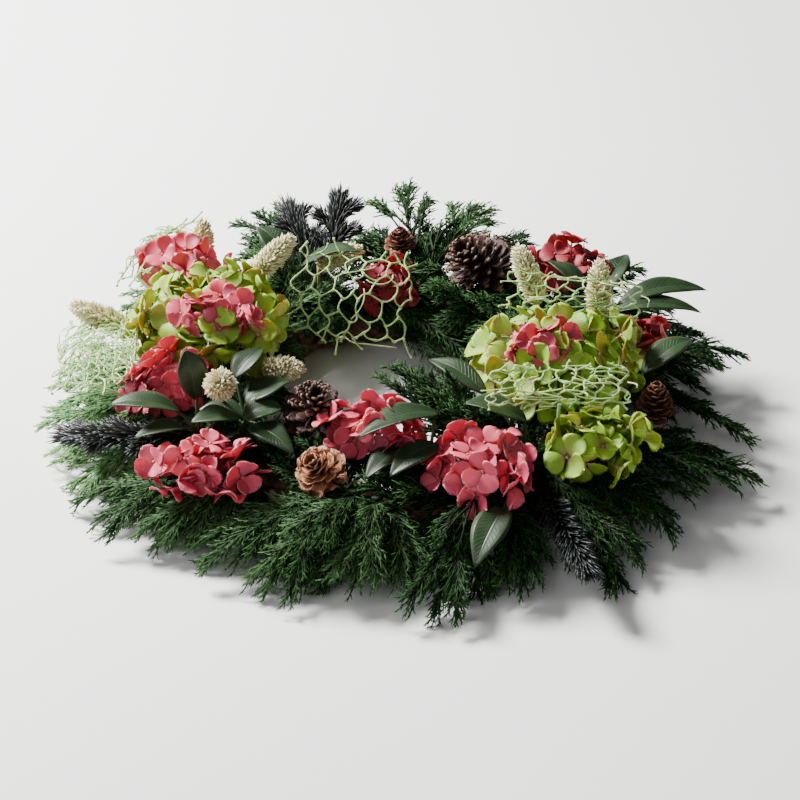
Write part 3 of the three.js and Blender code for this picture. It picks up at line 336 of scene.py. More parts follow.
def add_sheets(shape, grids, thickness, tone=0.5, profile=None):
    """Closed thin sheets round grids (n, rows, columns, 3): top and under faces meet at the rim."""
    n, rows, columns, _ = grids.shape
    normals = unit(np.cross(np.gradient(grids, axis=1), np.gradient(grids, axis=2)))
    half = 0.5 * thickness * (np.ones(rows) if profile is None else profile)[None, :, None, None]
    inner = np.zeros((rows, columns), bool)
    inner[1:-1, 1:-1] = True
    top = np.where(inner[..., None], grids + half * normals, grids)
    under = (grids - half * normals)[:, 1:-1, 1:-1].reshape(n, -1, 3)
    points = np.concatenate([top.reshape(n, -1, 3), under], 1)
    u = np.linspace(0, 1, rows)[:, None] + np.zeros(columns)
    v = np.linspace(-1, 1, columns) + np.zeros((rows, 1))
    along = np.concatenate([u.ravel(), u[1:-1, 1:-1].ravel()])
    across = np.concatenate([v.ravel(), v[1:-1, 1:-1].ravel()])
    upper = np.arange(rows * columns).reshape(rows, columns)
    lower = upper.copy()
    lower[1:-1, 1:-1] = rows * columns + np.arange((rows - 2) * (columns - 2)).reshape(rows - 2, -1)

    def cells(index, flip):
        corners = [index[:-1, :-1], index[1:, :-1], index[1:, 1:], index[:-1, 1:]]
        return np.stack(corners[::-1] if flip else corners, -1).reshape(-1, 4)

    one = np.concatenate([cells(upper, False), cells(lower, True)])
    quads = one[None] + (np.arange(n) * points.shape[1])[:, None, None]
    shape.add(points, quads, None, np.reshape(tone, (-1, 1)), along[None], across[None])


# Stems end in the ring, within 12 mm of its middle line.
STEM = {"within": 12, "radius": 1.4, "twig": 1.7, "thin": 1.1}


def add_stem(shape, top, lean=0.0, radius=STEM["radius"]):
    """A stem from a point down into the ring."""
    angle = math.degrees(math.atan2(top[1], top[0])) + lean
    low, high = RING["radius"] - STEM["within"], RING["radius"] + STEM["within"]
    reach = min(max(math.hypot(top[0], top[1]), low), high)
    end = polar(angle, reach, RING["half_height"])
    add_tubes(shape, arched(top, end, 0, 6)[None], radius, 6, tone=0.4, along=0.0)


# ---- materials
class Paint:
    """A node material round one Principled shader."""

    def __init__(self, name, **sockets):
        self.material = bpy.data.materials.new(name)
        self.material.use_nodes = True
        self.tree = self.material.node_tree
        self.shader = self.tree.nodes["Principled BSDF"]
        for socket, value in sockets.items():
            self.shader.inputs[socket.replace("_", " ")].default_value = value

    def feed(self, socket, value):
        """Link another node's output to a socket, or set the socket's own value."""
        if isinstance(value, bpy.types.NodeSocket):
            self.tree.links.new(value, socket)
        else:
            socket.default_value = (*value, 1) if socket.type == "RGBA" else value

    def node(self, kind, inputs=None, **settings):
        made = self.tree.nodes.new("ShaderNode" + kind)
        for setting, value in settings.items():
            setattr(made, setting, value)
        for socket, value in (inputs or {}).items():
            self.feed(made.inputs[socket], value)
        return made

    def value(self, name):
        return self.node("Attribute", attribute_name=name).outputs["Fac"]

    def math(self, operation, a, b=0.0):
        return self.node("Math", {0: a, 1: b}, operation=operation).outputs[0]

    def plus(self, a, b):
        return self.math("ADD", a, b)

    def times(self, a, b):
        return self.math("MULTIPLY", a, b)

    def ripple(self, factor):
        """0 at even steps of a factor and 1 between them."""
        return self.math("ABSOLUTE", self.math("SINE", factor))

    def line(self, factor, sharpness):
        """1 where a factor is 0, down to 0 beside it."""
        return self.math("SUBTRACT", 1.0, self.math("MINIMUM", self.times(factor, sharpness), 1.0))

    def spread(self, factor, low, high):
        """A factor from 0 to 1 stretched between two numbers."""
        return self.node("MapRange", {0: factor, 3: low, 4: high}).outputs[0]

    def noise(self, scale, detail=3.0, stretch=(1, 1, 1)):
        place = self.node("TexCoord").outputs["Object"]
        place = self.node("Mapping", {"Vector": place, "Scale": stretch}).outputs["Vector"]
        made = self.node("TexNoise", {"Vector": place, "Scale": scale, "Detail": detail})
        return made.outputs["Fac"]

    def ramp(self, factor, *stops):
        """A colour ramp through stops of a place and a colour, or a single number for a grey."""
        made = self.node("ValToRGB", {"Fac": factor})
        elements = made.color_ramp.elements
        while len(elements) < len(stops):
            elements.new(0.5)
        for element, (place, colour) in zip(elements, stops):
            element.position = place
            element.color = (*(colour if isinstance(colour, tuple) else (colour,) * 3), 1)
        return made.outputs["Color"]

    def tint(self, colour, factor, *stops):
        """The colour multiplied by a ramp."""
        return self.mix(1.0, colour, self.ramp(factor, *stops), "MULTIPLY")

    def mix(self, factor, a, b, blend="MIX"):
        made = self.node("Mix", {0: factor, 6: a, 7: b}, data_type="RGBA", blend_type=blend)
        return made.outputs[2]

    def finish(self, colour, roughness=None, height=None, distance=0.0005, strength=0.6):
        self.feed(self.shader.inputs["Base Color"], colour)
        if roughness is not None:
            self.feed(self.shader.inputs["Roughness"], roughness)
        if height is not None:
            bump = self.node("Bump", {"Height": height, "Distance": distance, "Strength": strength})
            self.feed(self.shader.inputs["Normal"], bump.outputs["Normal"])
        return self.material


def petal_material(name, heart, body, rim, vein):
    """Petals: a heart colour at the middle, fine veins that fan out, and a rim of its own colour."""
    paint = Paint(name, Subsurface_Weight=0.2, Subsurface_Scale=0.003, Roughness=0.55)
    colour = paint.ramp(paint.value("along"), (0.0, heart), (0.38, body), (0.86, body), (1.0, rim))
    fan = paint.plus(paint.times(paint.value("across"), 17.0), paint.times(paint.noise(260.0, 2.0), 2.2))
    veins = paint.line(paint.ripple(fan), 2.6)
    colour = paint.mix(paint.times(veins, 0.5), colour, vein)
    colour = paint.tint(colour, paint.noise(110.0, 4.0), (0.35, 0.78), (0.7, 1.08))
    colour = paint.tint(colour, paint.value("tone"), (0.0, (0.5, 0.55, 0.6)), (0.5, 0.95),
                        (1.0, (1.2, 1.18, 1.1)))
    return paint.finish(colour, paint.spread(paint.noise(300.0), 0.45, 0.7), veins, 0.0003, 0.5)


def cypress_material():
    """Scale foliage: very dark green with lighter shoots, paler with tone, which carries painted light."""
    paint = Paint("cypress_scales", Specular_IOR_Level=0.15)
    along = paint.value("along")
    dark = paint.ramp(along, (0.0, (0.002, 0.004, 0.001)), (0.5, (0.003, 0.014, 0.002)),
                      (1.0, (0.009, 0.058, 0.006)))
    # Painted light: this light mint green, mixed in by tone, stands for strong light on the lit sprays.
    painted_light = paint.ramp(along, (0.0, (0.05, 0.12, 0.05)), (0.5, (0.19, 0.44, 0.17)), (1.0, (0.42, 0.68, 0.34)))
    colour = paint.mix(paint.value("tone"), dark, painted_light)
    colour = paint.tint(colour, paint.noise(60.0, 3.0), (0.3, (0.65, 0.7, 0.6)), (0.7, (1.25, 1.2, 1.1)))
    scales = paint.noise(1500.0, 1.0)
    return paint.finish(colour, paint.spread(scales, 0.42, 0.72), scales, 0.0004, 0.8)


def fir_material():
    paint = Paint("fir_needles", Specular_IOR_Level=0.4)
    colour = paint.ramp(paint.value("along"), (0.0, (0.014, 0.01, 0.008)), (0.4, (0.01, 0.013, 0.012)),
                        (1.0, (0.03, 0.036, 0.035)))
    colour = paint.tint(colour, paint.value("tone"), (0.0, 0.6), (1.0, (1.5, 1.5, 1.55)))
    grain = paint.noise(900.0, 2.0)
    return paint.finish(colour, paint.spread(grain, 0.32, 0.55), grain, 0.0003, 0.4)


def leaf_material():
    """A leathery leaf: dark, with a paler midrib, side veins that arch to the tip, a painted highlight on its
    rim, and a satin coat.
    """
    paint = Paint("leathery_leaf", Coat_Weight=0.06, Coat_Roughness=0.3, Specular_IOR_Level=0.3)
    out = paint.math("ABSOLUTE", paint.value("across"))
    path = paint.math("SUBTRACT", paint.times(paint.value("along"), 52.0), paint.times(out, 9.0))
    side = paint.line(paint.ripple(path), 4.5)
    veins = paint.math("MAXIMUM", paint.line(out, 14.0), paint.times(side, 0.5))
    base = paint.ramp(paint.noise(70.0, 4.0), (0.3, (0.006, 0.019, 0.005)), (0.7, (0.018, 0.046, 0.014)))
    colour = paint.mix(paint.times(veins, 0.5), base, (0.06, 0.085, 0.045))
    # Painted highlight: the rim is mixed towards a light grey-green, as if light caught the leaf's edge.
    edge = paint.math("POWER", out, 14.0)
    colour = paint.mix(paint.times(edge, 0.45), colour, (0.16, 0.17, 0.1))
    colour = paint.tint(colour, paint.value("tone"), (0.0, 0.7), (1.0, (1.35, 1.35, 1.3)))
    height = paint.plus(paint.times(veins, -0.7), paint.times(paint.noise(500.0), 0.3))
    return paint.finish(colour, paint.spread(paint.noise(180.0), 0.34, 0.52), height, 0.0005, 0.7)


def grass_material():
    paint = Paint("grass_spikelets")
    colour = paint.ramp(paint.value("along"), (0.0, (0.42, 0.37, 0.18)), (0.4, (0.78, 0.72, 0.44)),
                        (1.0, (1.0, 0.97, 0.74)))
    colour = paint.tint(colour, paint.value("tone"), (0.0, (0.72, 0.72, 0.6)), (1.0, (1.15, 1.12, 1.05)))
    grain = paint.noise(1200.0, 2.0)
    return paint.finish(colour, paint.spread(grain, 0.6, 0.85), grain, 0.0003, 0.5)


def cone_material(name, root, body, lip):
    """Woody scales: streaked along their length, with lips of their own colour."""
    paint = Paint(name, Roughness=0.6)
    colour = paint.ramp(paint.value("along"), (0.0, root), (0.62, body), (0.86, body), (0.97, lip))
    streak = paint.plus(paint.times(paint.value("across"), 14.0), paint.times(paint.noise(300.0), 6.0))
    streak = paint.ripple(streak)
    colour = paint.mix(paint.times(streak, 0.3), colour, root)
    colour = paint.tint(colour, paint.noise(220.0, 5.0), (0.3, 0.6), (0.72, (1.25, 1.2, 1.15)))
    colour = paint.tint(colour, paint.value("tone"), (0.0, (0.75, 0.72, 0.7)), (1.0, 1.2))
    return paint.finish(colour, paint.spread(paint.noise(500.0), 0.42, 0.75), streak, 0.0005, 0.6)


def net_material():
    paint = Paint("plant_fibre", Roughness=0.7, Sheen_Weight=0.3)
    colour = paint.ramp(paint.value("tone"), (0.0, (0.24, 0.44, 0.13)), (0.5, (0.44, 0.68, 0.26)),
                        (1.0, (0.70, 0.86, 0.42)))
    fibre = paint.noise(900.0, 4.0)
    colour = paint.tint(colour, fibre, (0.3, (0.7, 0.72, 0.66)), (0.7, (1.15, 1.12, 1.05)))
    return paint.finish(colour, paint.spread(fibre, 0.55, 0.85), fibre, 0.0004, 0.7)


def vine_material():
    """Bark: dark in its furrows and paler on its ridges."""
    paint = Paint("vine_bark", Roughness=0.8)
    grain = paint.noise(180.0, 6.0, (1, 1, 2.2))
    colour = paint.ramp(grain, (0.3, (0.03, 0.012, 0.008)), (0.55, (0.11, 0.045, 0.028)),
                        (0.8, (0.23, 0.12, 0.075)))
    return paint.finish(colour, paint.spread(grain, 0.6, 0.95), grain, 0.0015, 0.8)


MATERIALS = {
    "vine": vine_material(),
    "cypress": cypress_material(),
    "fir": fir_material(),
    "leaf": leaf_material(),
    "green": petal_material("green_petals", (0.58, 0.40, 0.20), (0.33, 0.54, 0.04), (0.48, 0.66, 0.10),
                            (0.18, 0.34, 0.02)),
    "pink": petal_material("pink_petals", (0.60, 0.11, 0.14), (0.74, 0.085, 0.15), (0.86, 0.34, 0.39),
                           (0.42, 0.025, 0.06)),
    "red": petal_material("red_petals", (0.26, 0.02, 0.03), (0.34, 0.016, 0.03), (0.52, 0.08, 0.1),
                          (0.13, 0.006, 0.012)),
    "grass": grass_material(),
    "pine_cone": cone_material("pine_cone_scales", (0.012, 0.004, 0.003), (0.045, 0.015, 0.01),
                               (0.23, 0.13, 0.09)),
    "larch_cone": cone_material("larch_cone_scales", (0.1, 0.032, 0.012), (0.46, 0.165, 0.07),
                                (0.78, 0.43, 0.24)),
    "larch_dark": cone_material("dark_larch_scales", (0.03, 0.009, 0.004), (0.17, 0.05, 0.02),
                                (0.32, 0.12, 0.05)),
    "net": net_material(),
}


# ---- the vine ring
# A stem's radius and its turns round the ring's middle line. The thin ones have where they start too.
THICK_STEM = (7.4, 5)
THIN_STEMS = [(0.7, 2.6, 9), (2.9, 2.2, -7), (4.4, 2.4, 8)]


def vine_ring():
    """Vine stems wound round each other into a ring, with thinner shoots over them."""
    shape = Shape()
    rng = np.random.default_rng(1)
    stems = [(turn * math.pi / 2, *THICK_STEM) for turn in range(4)] + THIN_STEMS
    steps = 200
    a = np.linspace(0, 2 * math.pi, steps + 1)
    for start, radius, turns in stems:
        thick = radius > 5
        out = RING["half_width"] - radius - 0.5 if thick else RING["half_width"] - 1.5
        rise = RING["half_height"] - radius if thick else RING["half_height"] - 1
        b = start + turns * a
        wander = 0.5 * np.sin(3 * a + start)
        r = RING["radius"] + (out + wander) * np.cos(b)
        z = RING["half_height"] + 1.0 + rise * np.sin(b)
        path = np.stack([r * np.cos(a), r * np.sin(a), np.maximum(z, radius * 1.14 + 0.2)], -1)[None]
        knots = 1 + 0.07 * np.sin(23 * a + start) + 0.05 * rng.standard_normal(steps + 1)
        add_tubes(shape, path, (radius * knots)[None], 12 if thick else 7, tone=rng.random(), along=0.5)
    shape.build("vine_ring", MATERIALS["vine"])


# ---- cypress
PLUME = {"step": 3.0, "angle": 33, "closing": 15, "uneven": 7, "bend": 0.22, "shoot": 5.8, "shoots": 4,
         "tilt": 26, "tilt_uneven": 9}
THICK = {"rib": (1.3, 0.5), "arm": (0.8, 0.42), "shoot": (0.62, 0.2), "twig": 1.7}
SIDE_PLUMES = {"count": 6, "first": 0.04, "along": 0.62, "turn": 20, "uneven": 6, "share": 0.62,
               "shorter": 0.35, "rise": 0.07, "arm": 0.85}
LOWER_FRONDS = {"turn": (5, 11), "drop": 5, "uneven": (-2, 3), "shorter": (0.4, 1)}
ROOT_TURN = 0.3  # how far a frond's root is turned from the fork towards its tip
LEAST_HEIGHT = 4
FRONT_SWEEP = {214: 7, 250: 11, 283: 11}  # how far the front fronds' roots are turned from their tips
COLLAR = {"spread": 22, "turn": (9, 17), "across": 13, "uneven": 3, "foot": 26, "height": (34, 50),
          "arch": 6, "arm": 11.0, "slope": 2.2}


def add_plume(shape, path, arm, rng, tone, slope):
    """A rib with branchlets that sweep forward on both sides, each with its own short shoots."""
    count = max(8, int(2 * path_length(path) / PLUME["step"]))
    t = np.clip((np.arange(count) + 0.2 + 0.7 * rng.random(count)) / count, 0.02, 1)
    side = np.where(np.arange(count) % 2 == 0, 1.0, -1.0)
    roots, forward, normal, across = at_shares(path, t)
    angle = PLUME["angle"] - PLUME["closing"] * t + PLUME["uneven"] * rng.standard_normal(count)
    angle = np.radians(angle)
    reach = arm * (0.5 + 0.62 * np.sin(np.pi * (0.12 + 0.78 * t))) * (0.7 + 0.5 * rng.random(count))
    way = forward * np.cos(angle)[:, None] + across * (side * np.sin(angle))[:, None]
    way = unit(way + normal * (0.2 * rng.standard_normal(count) + 0.04)[:, None])
    bend = PLUME["bend"] * forward + normal * (0.12 * rng.standard_normal(count))[:, None] - 0.12 * UP
    s = np.linspace(0, 1, 4)[None, :, None]
    arms = roots[:, None] + reach[:, None, None] * (way[:, None] * s + bend[:, None] * s ** 2)
    kept = beside_ornaments(arms[:, 2:].mean(1), slope) & beside_ornaments(arms[:, -1], slope)
    roots, way, bend, normal, reach, arms = (v[kept] for v in (roots, way, bend, normal, reach, arms))
    if not len(arms):
        return
    last = math.ceil(t[kept].max() * (len(path) - 1)) + 1
    rib = path[:max(last, 3)]
    radii = np.linspace(*THICK["rib"], len(path))[None, :len(rib)]
    # Tone carries the spray's painted light with random draws; the rib takes six tenths of it.
    add_tubes(shape, floored(rib[None]), radii, 4, 0.6 * tone, along=0.2)
    low, high = THICK["arm"]
    taper = np.linspace(low, high, 4) * np.array([1, 1.1, 0.95, 0.5])
    vary = 0.03 + 0.1 * tone
    arm_tone = np.clip(tone + vary * rng.standard_normal(len(arms)), 0, 1)
    add_tubes(shape, floored(arms), taper[None], 3, arm_tone, along=np.linspace(0.3, 1, 4)[None, :, None])
    per_arm = PLUME["shoots"]
    owner = np.repeat(np.arange(len(arms)), per_arm)
    order = np.tile(np.arange(per_arm), len(arms))
    place = (order + 0.5 + 0.6 * rng.random(len(order))) / (per_arm + 0.6)
    part = place[:, None]
    start = roots[owner] + reach[owner, None] * (way[owner] * part + bend[owner] * part ** 2)
    run = unit(way[owner] + 2 * bend[owner] * part)
    flank = np.cross(normal[owner], run) * np.where(order % 2 == 0, 1.0, -1.0)[:, None]
    tilt = np.radians(PLUME["tilt"] + PLUME["tilt_uneven"] * rng.standard_normal(len(owner)))
    going = run * np.cos(tilt)[:, None] + flank * np.sin(tilt)[:, None]
    going = unit(going + normal[owner] * (0.25 * rng.standard_normal(len(owner)))[:, None])
    size = PLUME["shoot"] * (0.7 + 0.6 * rng.random(len(owner))) * (1.15 - 0.45 * place)
    size = size * np.clip(reach[owner] / arm, 0.5, 1)
    q = np.array([0, 1])[None, :, None]
    shoots = start[:, None] + size[:, None, None] * going[:, None] * q
    shoot_tone = np.clip(tone + 1.3 * vary * rng.standard_normal(len(owner)), 0, 1)
    height = (0.5 + 0.4 * place)[:, None, None] * np.array([0.8, 1.15])[None, :, None]
    add_tubes(shape, floored(shoots), np.array([THICK["shoot"]]), 3, shoot_tone, along=height)


def add_frond(shape, path, form, rng, painted_light):
    """A main plume with shorter plumes that leave it on both sides by turns."""
    length = path_length(path)
    # The frond's tone is the spray's painted light plus a random draw.
    tone = np.clip(painted_light + (0.03 + 0.1 * painted_light) * rng.standard_normal(), 0, 1)
    add_plume(shape, path, form["arm"], rng, tone, form["slope"])
    count = SIDE_PLUMES["count"]
    for number in range(count):
        t = np.array([SIDE_PLUMES["first"] + SIDE_PLUMES["along"] * (number + 0.5 * rng.random()) / count])
        root, forward, normal, across = at_shares(path, t)
        turn = math.radians(SIDE_PLUMES["turn"] + SIDE_PLUMES["uneven"] * rng.standard_normal())
        turn *= 1 if number % 2 else -1
        way = forward * math.cos(turn) + across * math.sin(turn)
        way = unit(way + normal * 0.1 * rng.standard_normal())[0]
        widest = 0.5 * form["width"] / math.sin(abs(turn))
        reach = min(SIDE_PLUMES["share"] * length * (1 - SIDE_PLUMES["shorter"] * t[0]), widest)
        reach *= 0.85 + 0.25 * rng.random()
        end = root[0] + reach * (0.93 * way + 0.07 * forward[0])
        end[2] = root[0][2] + (path[-1][2] - root[0][2]) * (0.55 + 0.4 * rng.random())
        side_tone = np.clip(tone + (0.02 + 0.1 * painted_light) * rng.standard_normal(), 0, 1)
        side_path = arched(root[0], end, reach * SIDE_PLUMES["rise"], 12)
        add_plume(shape, side_path, SIDE_PLUMES["arm"] * form["arm"], rng, side_tone, form["slope"])


def floored(points):
    """Points held above the table."""
    lifted = points.copy()
    lifted[..., 2] = np.maximum(lifted[..., 2], LOWEST)
    return lifted


def either_way(rng, low, high):
    """A number between two, or its negative."""
    size = rng.uniform(low, high)
    return size if rng.random() < 0.5 else -size


def add_collar(shape, fork, painted_light, form, rng):
    """Short plumes that lie along the ring and hide it."""
    for number in range(form["collar"]):
        share = 2 * (number + rng.random()) / form["collar"] - 1
        angle = fork + COLLAR["spread"] * share
        turn = either_way(rng, *COLLAR["turn"])
        drift = COLLAR["across"] * (number % 3 - 1) + rng.uniform(-COLLAR["uneven"], COLLAR["uneven"])
        start = polar(angle, RING["radius"] + 0.5 * drift, COLLAR["foot"])
        tip = polar(angle + turn, RING["radius"] + 1.2 * drift, rng.uniform(*COLLAR["height"]))
        # Collar plumes take seven tenths of the spray's painted light, plus a random draw.
        tone = np.clip(0.7 * painted_light + 0.03 * rng.standard_normal(), 0, 1)
        path = arched(start, tip, COLLAR["arch"], 12)
        add_plume(shape, path, COLLAR["arm"], rng, tone, COLLAR["slope"])


def cypress(name, fork, tips, painted_light, form, seed):
    """A spray: its fronds, with lower ones beside them, and their stems into the ring."""
    shape = Shape()
    rng = np.random.default_rng(seed)
    foot = polar(fork, RING["radius"], RING["half_height"])
    for angle, radius, height in tips:
        for tier in range(form["tiers"]):
            turn = either_way(rng, *LOWER_FRONDS["turn"]) if tier else 0
            start_angle = fork + (angle - fork) * ROOT_TURN + ROOT_TURN * turn + FRONT_SWEEP.get(fork, 0)
            start = polar(start_angle, form["fork_radius"], form["fork_height"] - form["drop"] * tier)
            lower = LOWER_FRONDS["drop"] * tier
            tip_height = max(height - lower + rng.uniform(*LOWER_FRONDS["uneven"]), LEAST_HEIGHT)
            shorter = form["shorter"] * tier * rng.uniform(*LOWER_FRONDS["shorter"])
            tip = polar(angle + turn, (radius + form["beyond"]) * (1 - shorter), tip_height)
            add_frond(shape, arched(start, tip, form["arch"], 22), form, rng, painted_light)
            add_tubes(shape, arched(foot, start, 2, 6)[None], THICK["twig"], 5, 0.2, along=0.1)
    add_collar(shape, fork, painted_light, form, rng)
    shape.build(name, MATERIALS["cypress"])


# ---- fir
NEEDLE = {"length": 12.5, "per_mm": 4.6, "radii": (0.5, 0.68, 0.54, 0.12)}
SIDE_SHOOTS = {"places": (0.42, 0.56, 0.7, 0.82), "angle": 38, "uneven": 5, "length": 17, "needles": 0.72}


def add_needles(shape, path, size, rng):
    """A shoot whose needles stand round it, more to its sides, and lean towards its tip."""
    count = int(NEEDLE["per_mm"] * path_length(path))
    add_tubes(shape, path[None], np.linspace(1.5, 0.8, len(path))[None], 6, 0.2, along=0.0)
    t = np.sqrt(np.linspace(0.02, 1, count))
    roots, forward, first, second = at_shares(path, t)
    turn = np.arange(count) * GOLDEN + 0.4 * rng.random(count)
    out = 0.75 * first * np.cos(turn)[:, None] + second * np.sin(turn)[:, None]
    way = unit(out + forward * (0.5 + 0.5 * rng.random(count) + 0.9 * t ** 6)[:, None])
    reach = size * (0.75 + 0.4 * rng.random(count))
    q = np.array([0, 0.35, 0.8, 1])[None, :, None]
    bend = forward[:, None] * 0.2 * q ** 2
    paths = roots[:, None] + reach[:, None, None] * (way[:, None] * q + bend)
    add_tubes(shape, floored(paths), np.array([NEEDLE["radii"]]), 4, rng.random(count))


def fir_sprig(name, foot, shoots, branched, seed):
    """Shoots covered with needles. The branched ones have shorter shoots on both sides."""
    shape = Shape()
    rng = np.random.default_rng(seed)
    for through, tip in shoots:
        path = curve((foot, through, tip), 24)
        add_needles(shape, path, NEEDLE["length"], rng)
        for number, place in enumerate(SIDE_SHOOTS["places"] if branched else ()):
            root, forward, _, across = at_shares(path, np.array([place]))
            angle = math.radians(SIDE_SHOOTS["angle"] + SIDE_SHOOTS["uneven"] * rng.standard_normal())
            way = forward * math.cos(angle) + across * math.sin(angle) * (1 if number % 2 else -1)
            reach = SIDE_SHOOTS["length"] * (1.25 - 0.5 * place)
            end = root[0] + reach * way[0]
            side = curve((root[0], 0.5 * (root[0] + end) + 0.06 * reach * forward[0], end), 8)
            add_needles(shape, side, SIDE_SHOOTS["needles"] * NEEDLE["length"], rng)
    add_stem(shape, np.asarray(foot, float))
    shape.build(name, MATERIALS["fir"])


# ---- hydrangeas
PETAL = {"rows": 8, "columns": 9, "half_width": 0.52, "thickness": 0.4, "lift": (14, 13), "cup": (0.05, 0.20),
         "curl": (0.16, 0.28)}


def add_petals(shape, seats, facing, spin, radius, rng):
    """Four round petals on a short claw for each seat, each cupped and lifted in its own way."""
    n = len(seats)
    u = np.linspace(0, 1, PETAL["rows"])[None, :, None]
    v = np.linspace(-1, 1, PETAL["columns"])[None, None, :]
    usual, uneven = PETAL["lift"]
    lift = np.radians(usual + uneven * rng.standard_normal(n))
    for petal in range(4):
        a = spin + petal * math.pi / 2 + 0.10 * rng.standard_normal(n)
        outward = around(facing, a)
        rise = lift + np.radians(10 * rng.standard_normal(n)) + (0.05 if petal % 2 else -0.05)
        x_axis = outward * np.cos(rise)[:, None] + facing * np.sin(rise)[:, None]
        roll = 0.2 * rng.standard_normal(n)[:, None]
        z_axis = facing * np.cos(rise)[:, None] - outward * np.sin(rise)[:, None]
        y_axis = np.cross(z_axis, x_axis)
        y_axis, z_axis = (y_axis * np.cos(roll) + z_axis * np.sin(roll),
                          z_axis * np.cos(roll) - y_axis * np.sin(roll))
        size = (radius * (0.88 + 0.2 * rng.random(n)))[:, None, None]
        cup, curl = ((uneven * rng.standard_normal(n) + usual)[:, None, None]
                     for usual, uneven in (PETAL["cup"], PETAL["curl"]))
        phase = (rng.random(n) * 2 * math.pi)[:, None, None]
        wide = PETAL["half_width"] * np.sqrt(np.clip(1 - ((u - 0.57) / 0.445) ** 2, 0.012, 1))
        x = size * (0.04 + 0.96 * u - 0.10 * u ** 3 * v ** 2 - 0.04 * u ** 6 * np.cos(v * math.pi))
        y = size * wide * v
        frill = 0.03 * np.sin(5 * v + phase) * u ** 2 + 0.02 * np.sin(11 * v - phase) * u ** 4
        z = size * (cup * u * (1 - u) * 1.6 - 0.10 * u ** 2 * cup + curl * (v * wide) ** 2 * 2 + frill)
        grid = placed(seats, x, y, z, x_axis, y_axis, z_axis)
        tone = np.clip(0.5 + 0.22 * rng.standard_normal(n), 0, 1)
        add_sheets(shape, floored(grid), PETAL["thickness"], tone)


# How far the florets reach round the head, each layer's share of its size and of its florets, and how
# uneven they are. Then the stalks' radius, and the steps and radii of the bead in a floret's middle.
DOME = {"cap": 108, "layers": ((1.0, 1.0), (0.68, 0.5)), "scatter": 0.16, "tilt": 0.5, "lumps": 0.14,
        "stalk": 0.55, "bead_steps": (-0.3, 0.3, 0.9, 1.3), "bead": (0.7, 1.15, 0.95, 0.3)}


def hydrangea(name, at, half, florets, radius, petal, lean=0.0, *, seed):
    """Florets over a dome in two layers, each on a stalk from the head's middle."""
    shape = Shape()
    rng = np.random.default_rng(seed)
    middle, size = np.asarray(at, float), np.asarray(half, float)
    for layer, (share, part) in enumerate(DOME["layers"]):
        count = max(4, int(florets * part))
        slots = np.arange(count) + 0.5
        c = 1 - (1 - math.cos(math.radians(DOME["cap"]))) * slots / count
        ring = np.sqrt(np.clip(1 - c ** 2, 0, 1))
        a = slots * GOLDEN + 0.35 * rng.random(count) + layer
        way = np.stack([ring * np.cos(a), ring * np.sin(a), c], -1)
        lumps = DOME["lumps"] * np.sin(3 * a + seed) * ring
        depth = share * (0.97 + lumps + DOME["scatter"] * rng.standard_normal(count).clip(-2, 0.8))[:, None]
        seats = middle + way * size * depth
        facing = unit(unit(way / size) + DOME["tilt"] * rng.standard_normal((count, 3)))
        spin = rng.random(count) * math.pi / 2
        add_petals(shape, seats, facing, spin, radius * (1 - 0.08 * layer), rng)
        root = middle + way * size * 0.15 - UP * 0.2 * size[2]
        s = np.linspace(0, 1, 4)[None, :, None]
        stalks = root[:, None] + (seats - root)[:, None] * s + UP * 2 * s * (s - 1)
        add_tubes(shape, floored(stalks), DOME["stalk"], 4, 0.3, along=0.2)
        bead = seats[:, None] + facing[:, None] * np.array(DOME["bead_steps"])[None, :, None]
        add_tubes(shape, bead, np.array([DOME["bead"]]), 6, 0.8, along=0.0)
    add_stem(shape, middle - UP * 0.25 * size[2], lean)
    shape.build(name, MATERIALS[petal])


# ---- leaves
LEAF = {"rows": 19, "columns": 9, "thickness": 0.7, "arch": 0.1, "droop": 0.04, "twist": 0.18, "fold": 0.34,
        "wave": 0.05, "stalk": (1.5, 0.8)}


def add_leaf(shape, root, tip, width, rng):
    """A leathery leaf folded along its midrib, with a drawn-out tip and a slightly waved edge."""
    root, tip = np.asarray(root, float), np.asarray(tip, float)
    length = np.linalg.norm(tip - root)
    middle = 0.5 * (root + tip) + UP * length * LEAF["arch"]
    rib = curve((root, middle, tip - LEAF["droop"] * length * UP), LEAF["rows"])
    _, normal, side = square_to(np.gradient(rib, axis=0))
    t = np.linspace(0, 1, LEAF["rows"])
    half = 0.5 * width * np.clip(np.sin(np.pi * t ** 0.86), 0, 1) ** 0.82 * (1 - 0.25 * t ** 4) + 0.25
    v = np.linspace(-1, 1, LEAF["columns"])
    twist = LEAF["twist"] * rng.standard_normal()
    fold = LEAF["fold"] + 0.06 * rng.standard_normal()
    wave = LEAF["wave"] * np.sin(9 * t + 6 * rng.random())[:, None] * np.abs(v) ** 2
    rise = fold * np.abs(v) ** 1.25 - 0.16 * v ** 2 + wave + twist * t[:, None] * v
    grid = rib[:, None] + side[:, None] * (half[:, None] * v)[..., None] \
        + normal[:, None] * (half[:, None] * rise)[..., None]
    add_sheets(shape, floored(grid[None]), LEAF["thickness"], rng.random())


def leafy_twig(name, foot, leaves, seed):
    shape = Shape()
    rng = np.random.default_rng(seed)
    foot = np.asarray(foot, float)
    for root, tip, width in leaves:
        root = np.asarray(root, float)
        stalk = curve((foot, 0.5 * (foot + root) + 1.5 * UP, root + 0.06 * (np.asarray(tip) - root)), 7)
        add_tubes(shape, stalk[None], np.linspace(*LEAF["stalk"], 7)[None], 6, 0.4, along=0.3)
        add_leaf(shape, root, tip, width, rng)
    add_stem(shape, foot, radius=STEM["twig"])
    shape.build(name, MATERIALS["leaf"])


# ---- cones
CONE_LOOKS = {
    "pine_cone": {"open_angle": -12, "close_angle": 74, "wide": 0.3, "thickness": 1.3, "knob": 0.1},
    "larch_cone": {"open_angle": 12, "close_angle": 80, "wide": 0.52, "thickness": 0.7},
}


